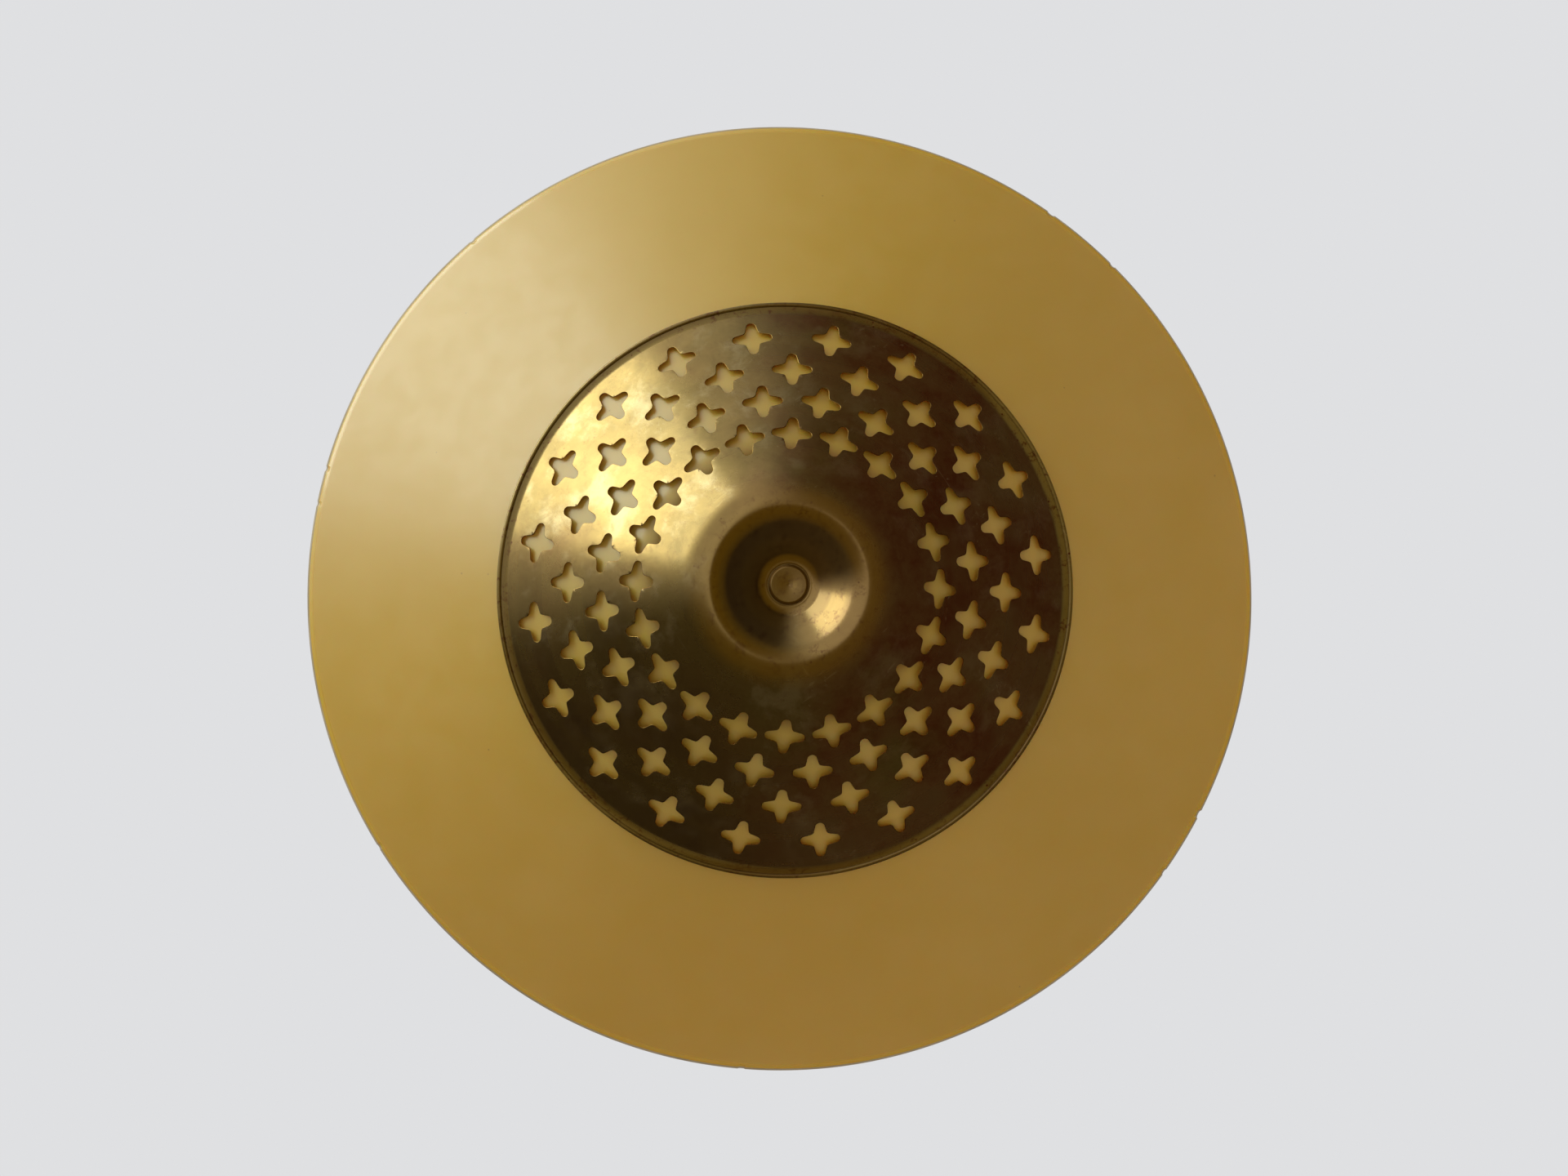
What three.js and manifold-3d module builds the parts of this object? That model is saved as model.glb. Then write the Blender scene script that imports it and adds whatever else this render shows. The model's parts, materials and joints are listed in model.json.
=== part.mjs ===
// Ceiling lamp: a wide opal glass shade under the ceiling, held up at its centre by a
// star-pierced brass cap that screws onto a threaded rod.
// Millimetres, +Z up. The origin is the middle of the ceiling strap's top face, so the
// ceiling is the plane z = 0 and the lamp hangs below it.
import * as THREE from 'three';
import { mergeVertices } from 'three/addons/utils/BufferGeometryUtils.js';
import Module from 'manifold-3d';

const wasm = await Module();
wasm.setup();

// Fits
const gap = 0.3; // between two separate pieces that seat on each other
const holePlay = 0.4; // round a screw's shank in its hole
const leadPlay = 0.7; // round a lead in its hole
const overcut = 1; // how far a cutting shape runs past the face that it cuts

// Glass shade
const shadeRadius = 225;
const shadeHang = 27; // ceiling to the shade's rim
const shadeSlope = 33; // cone angle from level, degrees
const shadeWall = 4.5;
const shadeRimBand = 3.4; // height of the rim's edge before the cone starts
const shadeRimRound = 3;
const shadeFlatRadius = 66.5; // where cone and flat bottom would meet
const shadeKneeRound = 15;
const shadeHolePlay = 1.8; // round the bush's barrel

// Star cap
const capRadius = 133;
const capSlope = 35;
const capSheet = 1;
const capCrestRadius = 39;
const capCrestRound = 19.5;
const capRimGap = 1.9; // rim's bead to the glass
const capSeatWidth = 0.7; // flat ring round the hole for the bush
const capLipRound = 6;
const capLipWidth = 0.9;
const capBeadRadius = 1.1;

// Star cut-outs, four rings of them, outermost first
const starsPerRing = 20;
const starRingInsets = [17, 32.8, 48.1, 64.3]; // in from the cap's rim
const starRingStarts = [-7.7, 1.3, -7.7, 1.3];
const starRingTwists = [2.5, 0.5, 3.8, 4.2];
const starReach = 9.3;
const starTipRadius = 1.9;
const starWaist = 4.7;
const starTipSpread = 52; // degrees either side of an arm's middle
const starArms = 4;
const punchDepth = 3;
const punchHeight = 250;

// Threaded rod and the bush that the cap turns on
const rodRadius = 5;
const bushBarrelRadius = 8.2;
const bushBarrelTop = 0.2; // barrel's top end below the glass's inner face
const bushFlangeRadius = 14;
const bushFlangeThickness = 3;
const bushFaceRadius = 9;
const bushFaceProud = 0.8; // how far the round face stands out of the dimple
const bushFaceBevel = 0.7;
const bushEndThickness = 2.2;

// Washers and plates on the rod
const feltThickness = 2;
const lowerFeltRadius = 22;
const upperFeltRadius = 28;
const seatPlateRadius = 31;
const seatPlateThickness = 2;
const seatPlateLip = 4;
const spacerRadius = 8;
const washerRadius = 10;
const washerThickness = 1.2;
const nutAcrossFlats = 15;
const nutThickness = 3.4;
const nutSides = 6;

// Ceiling strap
const strapEnd = 6; // metal left beyond each slot
const strapWidth = 22;
const strapThickness = 3;
const strapBossRadius = 8;
const strapBossLength = 10;
const strapSlotSpacing = 84;
const strapSlotLength = 14;
const strapSlotRadius = 2.5;

// Ceiling pan
const panRadius = 85;
const panDepth = 25.2;
const panSheet = 1.2;
const panCornerRound = 8;
const panFlange = 5;

// Lampholders, set round the rod and tipped down a little
const holderCount = 3;
const holderStart = 90;
const holderTilt = 12;
const holderRadius = 15;
const holderLength = 34;
const holderBack = 10; // solid thickness behind the socket
const holderNeckRadius = 12.5;
const holderNeckLength = 9;

// Lampholder bracket, one plate with an arm for each holder
const bracketThickness = 2;
const bracketLap = 0.5; // how far the plate runs into each arm
const bracketArmWidth = 16;
const bracketArmLength = 46;
const bracketScrewDrop = 34; // along an arm, from the plate to the holder's middle
const screwHeadClear = 2.9; // holder screw's head to the spacer tube

// Socket parts and bulbs
const shellWall = 0.7;
const shellInset = 1.9; // shell's end inside the holder's mouth
const threadPlay = 0.45; // round the bulb's cap in the shell
const contactWidth = 6;
const contactTail = 6; // below the socket's axis
const contactBend = 2; // either side of the axis, where the tongue rises
const contactTip = 3; // above the axis
const contactThickness = 0.5;
const contactRise = 1.4;
const bulbCapRadius = 6.95;
const bulbCapLength = 19;
const bulbCapWall = 0.6;
const bulbCapCup = 8;
const bulbTipRadius = 2.6;
const bulbTipLength = 2;
const bulbRadius = 22.5;
const bulbLength = 76;
const bulbWall = 0.8;
const bulbNeckAngle = -48; // where the round of the glass meets its neck, degrees
const bulbNeckLap = 5; // length of glass held inside the cap

// Screws
const holderScrewRadius = 2;
const holderScrewHead = 3.8;
const holderScrewDepth = 6;
const smallScrewRadius = 1.5;
const smallScrewHead = 3;
const screwHeadHeight = 1.8;
const screwCrownShare = 0.65; // share of a head's radius that is flat on top
const screwEndBelowPan = 2;

// Terminal block, earth tag, grommets and leads
const blockLength = 44;
const blockWidth = 16;
const blockHeight = 12;
const blockPitch = 14;
const blockDistance = 54;
const sleeveRadius = 3;
const sleeveWall = 0.8;
const leadRadius = 1.6;
const leadLap = 4; // how far a lead reaches into its sleeve or holder
const grommetCircle = 35;
const grommetRadius = 6.4;
const grommetFlange = 1.2;
const grommetNeck = 4.6;
const leadEntry = 9; // from a holder's back to its lead hole
const rodBypass = 17; // how far the long lead keeps from the rod's axis
const earthAngle = 150;
const earthDistance = 50;
const earthTagLength = 18;
const earthTagWidth = 8;
const earthTagThickness = 0.8;

// Facets
const shadeSides = 54;
const capSides = 40;
const panSides = 40;
const plateSides = 24;
const smallSides = 16;
const tinySides = 12;
const leadSides = 6;
const leadSteps = 16;
const bypassSteps = 26;
const arcSteps = 2;
const slotSteps = 4;
const crestSteps = 4;
const bulbSteps = 5;
const weld = 1e-4;

// Sizes that follow from the pieces that fit together
const rodHole = rodRadius + gap;
const shadeHoleRadius = bushBarrelRadius + shadeHolePlay;
const capBore = bushFaceRadius + 2 * gap;
const capSeatRadius = capBore + capSeatWidth;
const starRingRadii = starRingInsets.map((inset) => capRadius - inset);
const shellOuter = bulbCapRadius + threadPlay + shellWall;
const socketRadius = shellOuter + gap;
const strapLength = strapSlotSpacing + strapSlotLength + 2 * strapEnd;
const holderStandoff = spacerRadius + screwHeadClear + screwHeadHeight + gap + bracketThickness;
const bracketPlateRadius = holderStandoff + bracketScrewDrop * sinOf(holderTilt);
const blockScrewX = blockPitch / 2; // between two of the block's holes

// Levels, worked out from the ceiling down
const shadeRimZ = -shadeHang;
const shadeDrop = (shadeRadius - shadeFlatRadius) * slopeOf(shadeSlope);
const shadeFlatZ = shadeRimZ - shadeRimBand - shadeDrop;
const shadeFloorZ = shadeFlatZ + shadeWall;
const lowerFeltTop = shadeFlatZ - gap;
const flangeTop = lowerFeltTop - feltThickness - gap;
const flangeBottom = flangeTop - bushFlangeThickness;
const capSeatTop = flangeBottom - gap;
const capSeatZ = capSeatTop - capSheet;
const bushFaceZ = capSeatZ - bushFaceProud;
const rodEndZ = bushFaceZ + bushEndThickness + gap;
const upperFeltBottom = shadeFloorZ + gap;
const seatPlateBottom = upperFeltBottom + feltThickness + gap;
const seatPlateTop = seatPlateBottom + seatPlateThickness;
const panFloorZ = -panDepth;
const panFloorTop = panFloorZ + panSheet;
const bracketTop = panFloorZ - gap;
const bracketBottom = bracketTop - bracketThickness;
const washerTop = bracketBottom - gap;
const nutTop = washerTop - washerThickness - gap;
const spacerTop = nutTop - nutThickness - gap;

// Small helpers for angles and outlines

function slopeOf(degrees) {
  return Math.tan(THREE.MathUtils.degToRad(degrees));
}

function cosOf(degrees) {
  return Math.cos(THREE.MathUtils.degToRad(degrees));
}

function sinOf(degrees) {
  return Math.sin(THREE.MathUtils.degToRad(degrees));
}

function arc([centreX, centreY], radius, from, to, steps = arcSteps) {
  const points = [];
  for (let step = 0; step <= steps; step += 1) {
    const angle = from + ((to - from) * step) / steps;
    points.push([centreX + radius * cosOf(angle), centreY + radius * sinOf(angle)]);
  }
  return points;
}

function outlineOf(points) {
  return new THREE.Shape(points.map(([x, y]) => new THREE.Vector2(x, y)));
}

function signedVolume(positions, index) {
  const [a, b, c] = [new THREE.Vector3(), new THREE.Vector3(), new THREE.Vector3()];
  let volume = 0;
  for (let i = 0; i < index.length; i += 3) {
    a.fromArray(positions, 3 * index[i]);
    b.fromArray(positions, 3 * index[i + 1]);
    c.fromArray(positions, 3 * index[i + 2]);
    volume += a.dot(b.cross(c));
  }
  return volume;
}

// One closed surface: shared vertices, no empty triangles, faces pointing out
function closed(geometry) {
  const bare = geometry.clone();
  bare.deleteAttribute('normal');
  bare.deleteAttribute('uv');
  const merged = mergeVertices(bare, weld);
  const positions = merged.attributes.position.array;
  const index = [];
  for (let i = 0; i < merged.index.count; i += 3) {
    const [a, b, c] = [0, 1, 2].map((corner) => merged.index.getX(i + corner));
    if (a !== b && b !== c && c !== a) {
      index.push(a, b, c);
    }
  }
  if (signedVolume(positions, index) < 0) {
    index.reverse();
  }
  merged.setIndex(index);
  return merged;
}

function solidFrom(geometry) {
  const whole = closed(geometry);
  return new wasm.Manifold(new wasm.Mesh({
    numProp: 3,
    vertProperties: new Float32Array(whole.attributes.position.array),
    triVerts: new Uint32Array(whole.index.array),
  }));
}

function geometryFrom(solid) {
  const mesh = solid.getMesh();
  const geometry = new THREE.BufferGeometry();
  geometry.setAttribute('position', new THREE.BufferAttribute(mesh.vertProperties, 3));
  geometry.setIndex(new THREE.BufferAttribute(mesh.triVerts, 1));
  return geometry;
}

function cut(geometry, tools) {
  let solid = solidFrom(geometry);
  for (const tool of tools) {
    solid = solid.subtract(solidFrom(tool));
  }
  return geometryFrom(solid);
}

function join(geometries) {
  const [first, ...others] = geometries.map(solidFrom);
  return geometryFrom(others.reduce((whole, other) => whole.add(other), first));
}

// A turned shape about Z. The outline is [radius, z] points that begin and end on the axis.
function turned(points, sides = smallSides) {
  const outline = points.map(([radius, z]) => new THREE.Vector2(radius, z));
  return new THREE.LatheGeometry(outline, sides).rotateX(Math.PI / 2);
}

// A turned ring, whose outline closes on itself
function turnedRing(points, sides = smallSides) {
  return turned([...points, points[0]], sides);
}

function ring(inner, outer, bottom, top, sides = smallSides) {
  return turnedRing([[inner, bottom], [outer, bottom], [outer, top], [inner, top]], sides);
}

function rod(radius, bottom, top, sides = smallSides) {
  return turned([[0, bottom], [radius, bottom], [radius, top], [0, top]], sides);
}

function slab(sizeX, sizeY, bottom, top) {
  const box = new THREE.BoxGeometry(sizeX, sizeY, top - bottom);
  return box.translate(0, 0, (bottom + top) / 2);
}

function plate(points, bottom, top) {
  const geometry = new THREE.ExtrudeGeometry(outlineOf(points), {
    depth: top - bottom,
    bevelEnabled: false,
  });
  return geometry.translate(0, 0, bottom);
}

// Glass shade
function shadeConeZ(radius) {
  return shadeRimZ - shadeRimBand - (shadeRadius - radius) * slopeOf(shadeSlope);
}

function shadeGeometry() {
  const slope = shadeSlope;
  const knee = [
    shadeFlatRadius - shadeKneeRound * slopeOf(slope / 2),
    shadeFlatZ + shadeKneeRound,
  ];
  const tangentRadius = shadeRadius - shadeRimRound * (1 - sinOf(slope));
  const rimCentre = [
    shadeRadius - shadeRimRound,
    shadeConeZ(tangentRadius) + shadeRimRound * cosOf(slope),
  ];
  const rimInner = shadeRadius - (shadeWall / cosOf(slope) - shadeRimBand) / slopeOf(slope);
  return turnedRing([
    [shadeHoleRadius, shadeFlatZ],
    ...arc(knee, shadeKneeRound, -90, -90 + slope),
    ...arc(rimCentre, shadeRimRound, -90 + slope, 0),
    [shadeRadius, shadeRimZ],
    [rimInner, shadeRimZ],
    ...arc(knee, shadeKneeRound - shadeWall, -90 + slope, -90),
    [shadeHoleRadius, shadeFloorZ],
  ], shadeSides);
}

// Star cap. Its rim sits just under the glass, which sets the level of its cone and crest.
const beadCentreRadius = capRadius - capBeadRadius;
const beadCentreZ = shadeConeZ(beadCentreRadius) - (capBeadRadius + capRimGap) / cosOf(shadeSlope);
const lipCentreRadius = beadCentreRadius - capLipWidth;
const lipCentreZ = beadCentreZ - capSheet / 2 - capLipRound;
const capConeTopRadius = capCrestRadius + capCrestRound * sinOf(capSlope);
const capConeRun = lipCentreRadius - capLipRound * sinOf(capSlope) - capConeTopRadius;
const capConeTopZ = lipCentreZ + capLipRound * cosOf(capSlope) - capConeRun * slopeOf(capSlope);
const capCrestZ = capConeTopZ - capCrestRound * (1 - cosOf(capSlope));
const capCrestCentre = [capCrestRadius, capCrestZ + capCrestRound];

function capConeZ(radius) {
  return capConeTopZ + (radius - capConeTopRadius) * slopeOf(capSlope);
}

// The dimple is one arc out of the seat that runs smoothly into the crest's arc
function capDimple() {
  const run = capCrestRadius - capSeatRadius;
  const angle = 2 * THREE.MathUtils.radToDeg(Math.atan2(capSeatZ - capCrestZ, run));
  const round = run / sinOf(angle) - capCrestRound;
  return { angle, round, centre: [capSeatRadius, capSeatZ - round] };
}

function capProfile() {
  const dimple = capDimple();
  const lipCentre = [lipCentreRadius, lipCentreZ];
  const beadTurn = 180 - THREE.MathUtils.radToDeg(Math.asin(capSheet / 2 / capBeadRadius));
  const crestStart = -90 - dimple.angle;
  const crestEnd = -90 + capSlope;
  return [
    [capBore, capSeatZ],
    ...arc(dimple.centre, dimple.round, 90, 90 - dimple.angle),
    ...arc(capCrestCentre, capCrestRound, crestStart, crestEnd, crestSteps).slice(1),
    ...arc(lipCentre, capLipRound, 90 + capSlope, 90, 1),
    ...arc([beadCentreRadius, beadCentreZ], capBeadRadius, -beadTurn, beadTurn, crestSteps),
    ...arc(lipCentre, capLipRound + capSheet, 90, 90 + capSlope, 1),
    ...arc(capCrestCentre, capCrestRound - capSheet, crestEnd, crestStart, crestSteps),
    ...arc(dimple.centre, dimple.round + capSheet, 90 - dimple.angle, 90).slice(1),
    [capBore, capSeatTop],
  ];
}

function starOutline() {
  const points = [];
  const step = 360 / starArms;
  for (let arm = 0; arm < 360; arm += step) {
    const centre = polar(starReach - starTipRadius, arm);
    points.push(...arc(centre, starTipRadius, arm - starTipSpread, arm + starTipSpread, 1));
    points.push(polar(starWaist, arm + step / 2));
  }
  return points;
}

// One punch, standing square on the cone at a ring's radius, an arm along the slope.
// It is a star-based pyramid so tall that its sides are all but square to the sheet.
function starPunch(radius, angle, twist) {
  const below = -punchDepth;
  const spread = (punchHeight + punchDepth) / punchHeight;
  const outline = starOutline().map(([x, y]) => new THREE.Vector2(x * spread, y * spread));
  const positions = [0, 0, punchHeight];
  outline.forEach((point) => positions.push(point.x, point.y, below));
  const index = THREE.ShapeUtils.triangulateShape(outline, []).flatMap(
    ([a, b, c]) => [c + 1, b + 1, a + 1],
  );
  outline.forEach((point, i) => index.push(i + 1, ((i + 1) % outline.length) + 1, 0));
  const punch = new THREE.BufferGeometry();
  punch.setAttribute('position', new THREE.Float32BufferAttribute(positions, 3));
  punch.setIndex(index);
  punch.rotateZ(THREE.MathUtils.degToRad(twist));
  punch.rotateY(THREE.MathUtils.degToRad(-capSlope));
  punch.translate(radius, 0, capConeZ(radius));
  return punch.rotateZ(THREE.MathUtils.degToRad(angle));
}

function capGeometry() {
  const punches = [];
  starRingRadii.forEach((radius, row) => {
    for (let star = 0; star < starsPerRing; star += 1) {
      const angle = starRingStarts[row] + (360 * star) / starsPerRing;
      punches.push(starPunch(radius, angle, starRingTwists[row]));
    }
  });
  return cut(turnedRing(capProfile(), capSides), punches);
}

function bushGeometry() {
  return turned([
    [0, bushFaceZ],
    [bushFaceRadius - bushFaceBevel, bushFaceZ],
    [bushFaceRadius, bushFaceZ + bushFaceBevel],
    [bushFaceRadius, flangeBottom],
    [bushFlangeRadius, flangeBottom],
    [bushFlangeRadius, flangeTop],
    [bushBarrelRadius, flangeTop],
    [bushBarrelRadius, shadeFloorZ - bushBarrelTop],
    [rodHole, shadeFloorZ - bushBarrelTop],
    [rodHole, bushFaceZ + bushEndThickness],
    [0, bushFaceZ + bushEndThickness],
  ]);
}

// Rod, nuts and plates
function hexNut(top) {
  const turn = 360 / nutSides;
  const corner = nutAcrossFlats / 2 / cosOf(turn / 2);
  const bottom = top - nutThickness;
  const body = plate(arc([0, 0], corner, 0, 360 - turn, nutSides - 1), bottom, top);
  return cut(body, [rod(rodHole, bottom - overcut, top + overcut)]);
}

function seatPlateGeometry() {
  return turnedRing([
    [rodHole, seatPlateBottom],
    [seatPlateRadius - seatPlateLip / 2, seatPlateBottom],
    [seatPlateRadius, seatPlateBottom + seatPlateLip / 2],
    [seatPlateRadius, seatPlateBottom + seatPlateLip],
    [seatPlateRadius - seatPlateThickness, seatPlateBottom + seatPlateLip],
    [seatPlateRadius - seatPlateThickness, seatPlateTop],
    [rodHole, seatPlateTop],
  ], plateSides);
}

// Ceiling strap with a threaded boss under its middle
function strapGeometry() {
  const bar = slab(strapLength, strapWidth, -strapThickness, 0);
  const boss = rod(strapBossRadius, -strapThickness - strapBossLength, -strapThickness / 2);
  const bore = rod(rodHole, -strapThickness - strapBossLength - overcut, -strapThickness);
  const slots = [-1, 1].map((side) => {
    const half = strapSlotLength / 2 - strapSlotRadius;
    const outline = [
      ...arc([half, 0], strapSlotRadius, -90, 90, slotSteps),
      ...arc([-half, 0], strapSlotRadius, 90, 270, slotSteps),
    ];
    const slot = plate(outline, -strapThickness - overcut, overcut);
    return slot.translate((side * strapSlotSpacing) / 2, 0, 0);
  });
  return cut(join([bar, boss]), [bore, ...slots]);
}

// Places round the rod
function around(index) {
  return holderStart + (360 * index) / holderCount;
}

function polar(distance, angle) {
  return [distance * cosOf(angle), distance * sinOf(angle)];
}

// Ceiling pan, a shallow dish with its mouth against the ceiling
function panGeometry() {
  const corner = [panRadius - panCornerRound, panFloorZ + panCornerRound];
  const pan = turnedRing([
    [rodHole, panFloorZ],
    ...arc(corner, panCornerRound, -90, 0),
    [panRadius, -gap - panSheet],
    [panRadius + panFlange, -gap - panSheet],
    [panRadius + panFlange, -gap],
    [panRadius - panSheet, -gap],
    ...arc(corner, panCornerRound - panSheet, 0, -90),
    [rodHole, panFloorTop],
  ], panSides);
  const holes = [];
  for (let index = 0; index < holderCount; index += 1) {
    const [x, y] = polar(grommetCircle, around(index));
    holes.push(holeThroughPan(grommetNeck + gap, x, y));
  }
  const [earthX, earthY] = polar(earthDistance, earthAngle);
  holes.push(holeThroughPan(smallScrewRadius + holePlay, earthX, earthY));
  holes.push(holeThroughPan(smallScrewRadius + holePlay, blockScrewX, -blockDistance));
  return cut(pan, holes);
}

function holeThroughPan(radius, x, y) {
  const hole = rod(radius, panFloorZ - overcut, panFloorTop + overcut, tinySides);
  return hole.translate(x, y, 0);
}

// A frame on each holder's axis: X runs out along the socket, Z square to it and upwards.
// Its origin is the middle of the arm's outer face.
function holderFrame(index) {
  const frame = new THREE.Group();
  const z = bracketBottom - bracketScrewDrop * cosOf(holderTilt);
  const turn = new THREE.Group();
  turn.rotation.z = THREE.MathUtils.degToRad(around(index));
  frame.position.set(holderStandoff, 0, z);
  frame.rotation.y = THREE.MathUtils.degToRad(holderTilt);
  turn.add(frame);
  return { turn, frame };
}

// A turned shape whose axis is the holder's: outline points are [radius, distance out]
function alongHolder(geometry) {
  return geometry.rotateY(Math.PI / 2);
}

// Lampholder bracket: a round plate on the rod with one arm bent down for each holder
function bracketArm(index) {
  const arm = slab(bracketThickness, bracketArmWidth, -bracketArmLength, bracketThickness / 2);
  arm.translate(-bracketThickness / 2, 0, 0);
  const hole = alongHolder(
    rod(holderScrewRadius + holePlay, -bracketThickness - overcut, overcut, tinySides),
  );
  hole.translate(0, 0, -bracketScrewDrop);
  const drilled = cut(arm, [hole]);
  drilled.rotateY(THREE.MathUtils.degToRad(holderTilt));
  drilled.translate(bracketPlateRadius, 0, bracketBottom);
  return drilled.rotateZ(THREE.MathUtils.degToRad(around(index)));
}

function bracketGeometry() {
  const disc = ring(rodHole, bracketPlateRadius + bracketLap, bracketBottom, bracketTop);
  const arms = [];
  for (let index = 0; index < holderCount; index += 1) {
    arms.push(bracketArm(index));
  }
  return join([disc, ...arms]);
}

// Porcelain lampholder, open at its mouth, with a screw hole behind and a lead hole on top
function holderGeometry() {
  const back = gap;
  const mouth = back + holderLength;
  const body = alongHolder(turned([
    [0, back],
    [holderRadius, back],
    [holderRadius, mouth - holderNeckLength],
    [holderNeckRadius, mouth - holderNeckLength],
    [holderNeckRadius, mouth],
    [socketRadius, mouth],
    [socketRadius, back + holderBack],
    [0, back + holderBack],
  ]));
  const screwHole = alongHolder(
    rod(holderScrewRadius + holePlay, back - overcut, back + holderScrewDepth + gap, tinySides),
  );
  const leadHole = rod(
    leadRadius + leadPlay, holderRadius - leadLap - gap, holderRadius + overcut, tinySides,
  );
  leadHole.translate(leadEntry, 0, 0);
  return cut(body, [screwHole, leadHole]);
}

function shellGeometry() {
  const back = 2 * gap + holderBack + contactThickness + gap;
  const end = gap + holderLength - shellInset;
  return alongHolder(ring(shellOuter - shellWall, shellOuter, back, end));
}

// A spring tongue on the socket's floor, bent up towards the bulb's tip
function contactGeometry() {
  const back = 2 * gap + holderBack;
  const front = back + contactThickness;
  const side = [
    [back, -contactTail],
    [front, -contactTail],
    [front, -contactBend],
    [front + contactRise, contactBend],
    [front + contactRise, contactTip],
    [back + contactRise, contactTip],
    [back + contactRise, contactBend],
    [back, -contactBend],
  ];
  const strip = plate(side, -contactWidth / 2, contactWidth / 2);
  return strip.rotateX(Math.PI / 2);
}

function holderScrewGeometry() {
  const headBack = -bracketThickness - gap - screwHeadHeight;
  return alongHolder(turned([
    [0, headBack],
    [holderScrewHead * screwCrownShare, headBack],
    [holderScrewHead, headBack + screwHeadHeight / 2],
    [holderScrewHead, -bracketThickness - gap],
    [holderScrewRadius, -bracketThickness - gap],
    [holderScrewRadius, gap + holderScrewDepth],
    [0, gap + holderScrewDepth],
  ], tinySides));
}

// Bulb: a screw cap and a thin round glass, both about the holder's axis
const bulbTip = 2 * gap + holderBack + contactThickness + contactRise + gap;
const bulbCapBack = bulbTip + bulbTipLength;
const bulbCapMouth = bulbCapBack + bulbCapLength;

function bulbCapGeometry() {
  const inner = bulbCapRadius - bulbCapWall;
  return alongHolder(turned([
    [0, bulbTip],
    [bulbTipRadius, bulbTip],
    [bulbTipRadius, bulbCapBack],
    [bulbCapRadius, bulbCapBack + bulbTipLength],
    [bulbCapRadius, bulbCapMouth],
    [inner, bulbCapMouth],
    [inner, bulbCapMouth - bulbCapCup],
    [0, bulbCapMouth - bulbCapCup],
  ]));
}

function bulbGlassGeometry() {
  const centre = [0, bulbTip + bulbLength - bulbRadius];
  const neck = bulbCapRadius - bulbCapWall - gap;
  const start = bulbCapMouth - bulbNeckLap;
  const shoulder = bulbCapMouth + 2 * bulbWall;
  const outer = [
    [neck, start],
    [neck, bulbCapMouth],
    [neck + bulbWall, shoulder],
    ...arc(centre, bulbRadius, bulbNeckAngle, 90, bulbSteps),
  ];
  const inner = [
    ...arc(centre, bulbRadius - bulbWall, 90, bulbNeckAngle, bulbSteps),
    [neck, shoulder],
    [neck - bulbWall, bulbCapMouth],
    [neck - bulbWall, start],
  ];
  return alongHolder(turnedRing([...outer, ...inner]));
}

// Terminal block on the pan's floor, its sleeves running towards the rod
const blockBottom = panFloorTop + gap;
const blockTop = blockBottom + blockHeight;
const sleeveZ = (blockBottom + blockTop) / 2;
const blockFrontY = -blockDistance + blockWidth / 2;

function blockGeometry() {
  const block = slab(blockLength, blockWidth, blockBottom, blockTop);
  block.translate(0, -blockDistance, 0);
  const holes = [-1, 0, 1].map((column) => {
    const hole = rod(sleeveRadius + gap, -blockWidth, blockWidth, tinySides).rotateX(Math.PI / 2);
    return hole.translate(column * blockPitch, -blockDistance, sleeveZ);
  });
  const screwHole = rod(
    smallScrewRadius + holePlay, blockBottom - overcut, blockTop + overcut, tinySides,
  );
  return cut(block, [...holes, screwHole.translate(blockScrewX, -blockDistance, 0)]);
}

function sleeveGeometry(column) {
  const half = blockWidth / 2;
  const sleeve = ring(sleeveRadius - sleeveWall, sleeveRadius, -half, half, tinySides);
  return sleeve.rotateX(Math.PI / 2).translate(column * blockPitch, -blockDistance, sleeveZ);
}

// A round-headed screw standing in the pan, head up
function panScrewGeometry(headBottom, x, y) {
  const end = panFloorZ - screwEndBelowPan;
  const head = headBottom + screwHeadHeight;
  return turned([
    [0, end],
    [smallScrewRadius, end],
    [smallScrewRadius, headBottom],
    [smallScrewHead, headBottom],
    [smallScrewHead * screwCrownShare, head],
    [0, head],
  ], tinySides).translate(x, y, 0);
}

function earthTagGeometry() {
  const [x, y] = polar(earthDistance, earthAngle);
  const bottom = panFloorTop + gap;
  const top = bottom + earthTagThickness;
  const tag = slab(earthTagLength, earthTagWidth, bottom, top);
  const hole = rod(smallScrewRadius + holePlay, bottom - overcut, top + overcut, tinySides);
  hole.translate(-(earthTagLength - earthTagWidth) / 2, 0, 0);
  const drilled = cut(tag, [hole]);
  drilled.translate((earthTagLength - earthTagWidth) / 2, 0, 0);
  return drilled.rotateZ(THREE.MathUtils.degToRad(earthAngle)).translate(x, y, 0);
}

// Rubber grommet in the pan's floor, a flange on either side
function grommetGeometry(index) {
  const bore = leadRadius + leadPlay;
  const [x, y] = polar(grommetCircle, around(index));
  return turnedRing([
    [bore, panFloorZ - gap - grommetFlange],
    [grommetRadius, panFloorZ - gap - grommetFlange],
    [grommetRadius, panFloorZ - gap],
    [grommetNeck, panFloorZ - gap],
    [grommetNeck, panFloorTop + gap],
    [grommetRadius, panFloorTop + gap],
    [grommetRadius, panFloorTop + gap + grommetFlange],
    [bore, panFloorTop + gap + grommetFlange],
  ], tinySides).translate(x, y, 0);
}

// Points up the middle of a holder's lead hole, in the lamp's frame
function leadHolePoints(index, heights) {
  const { turn, frame } = holderFrame(index);
  turn.updateMatrixWorld(true);
  return heights.map(
    (height) => new THREE.Vector3(leadEntry, 0, holderRadius + height).applyMatrix4(frame.matrixWorld),
  );
}

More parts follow.
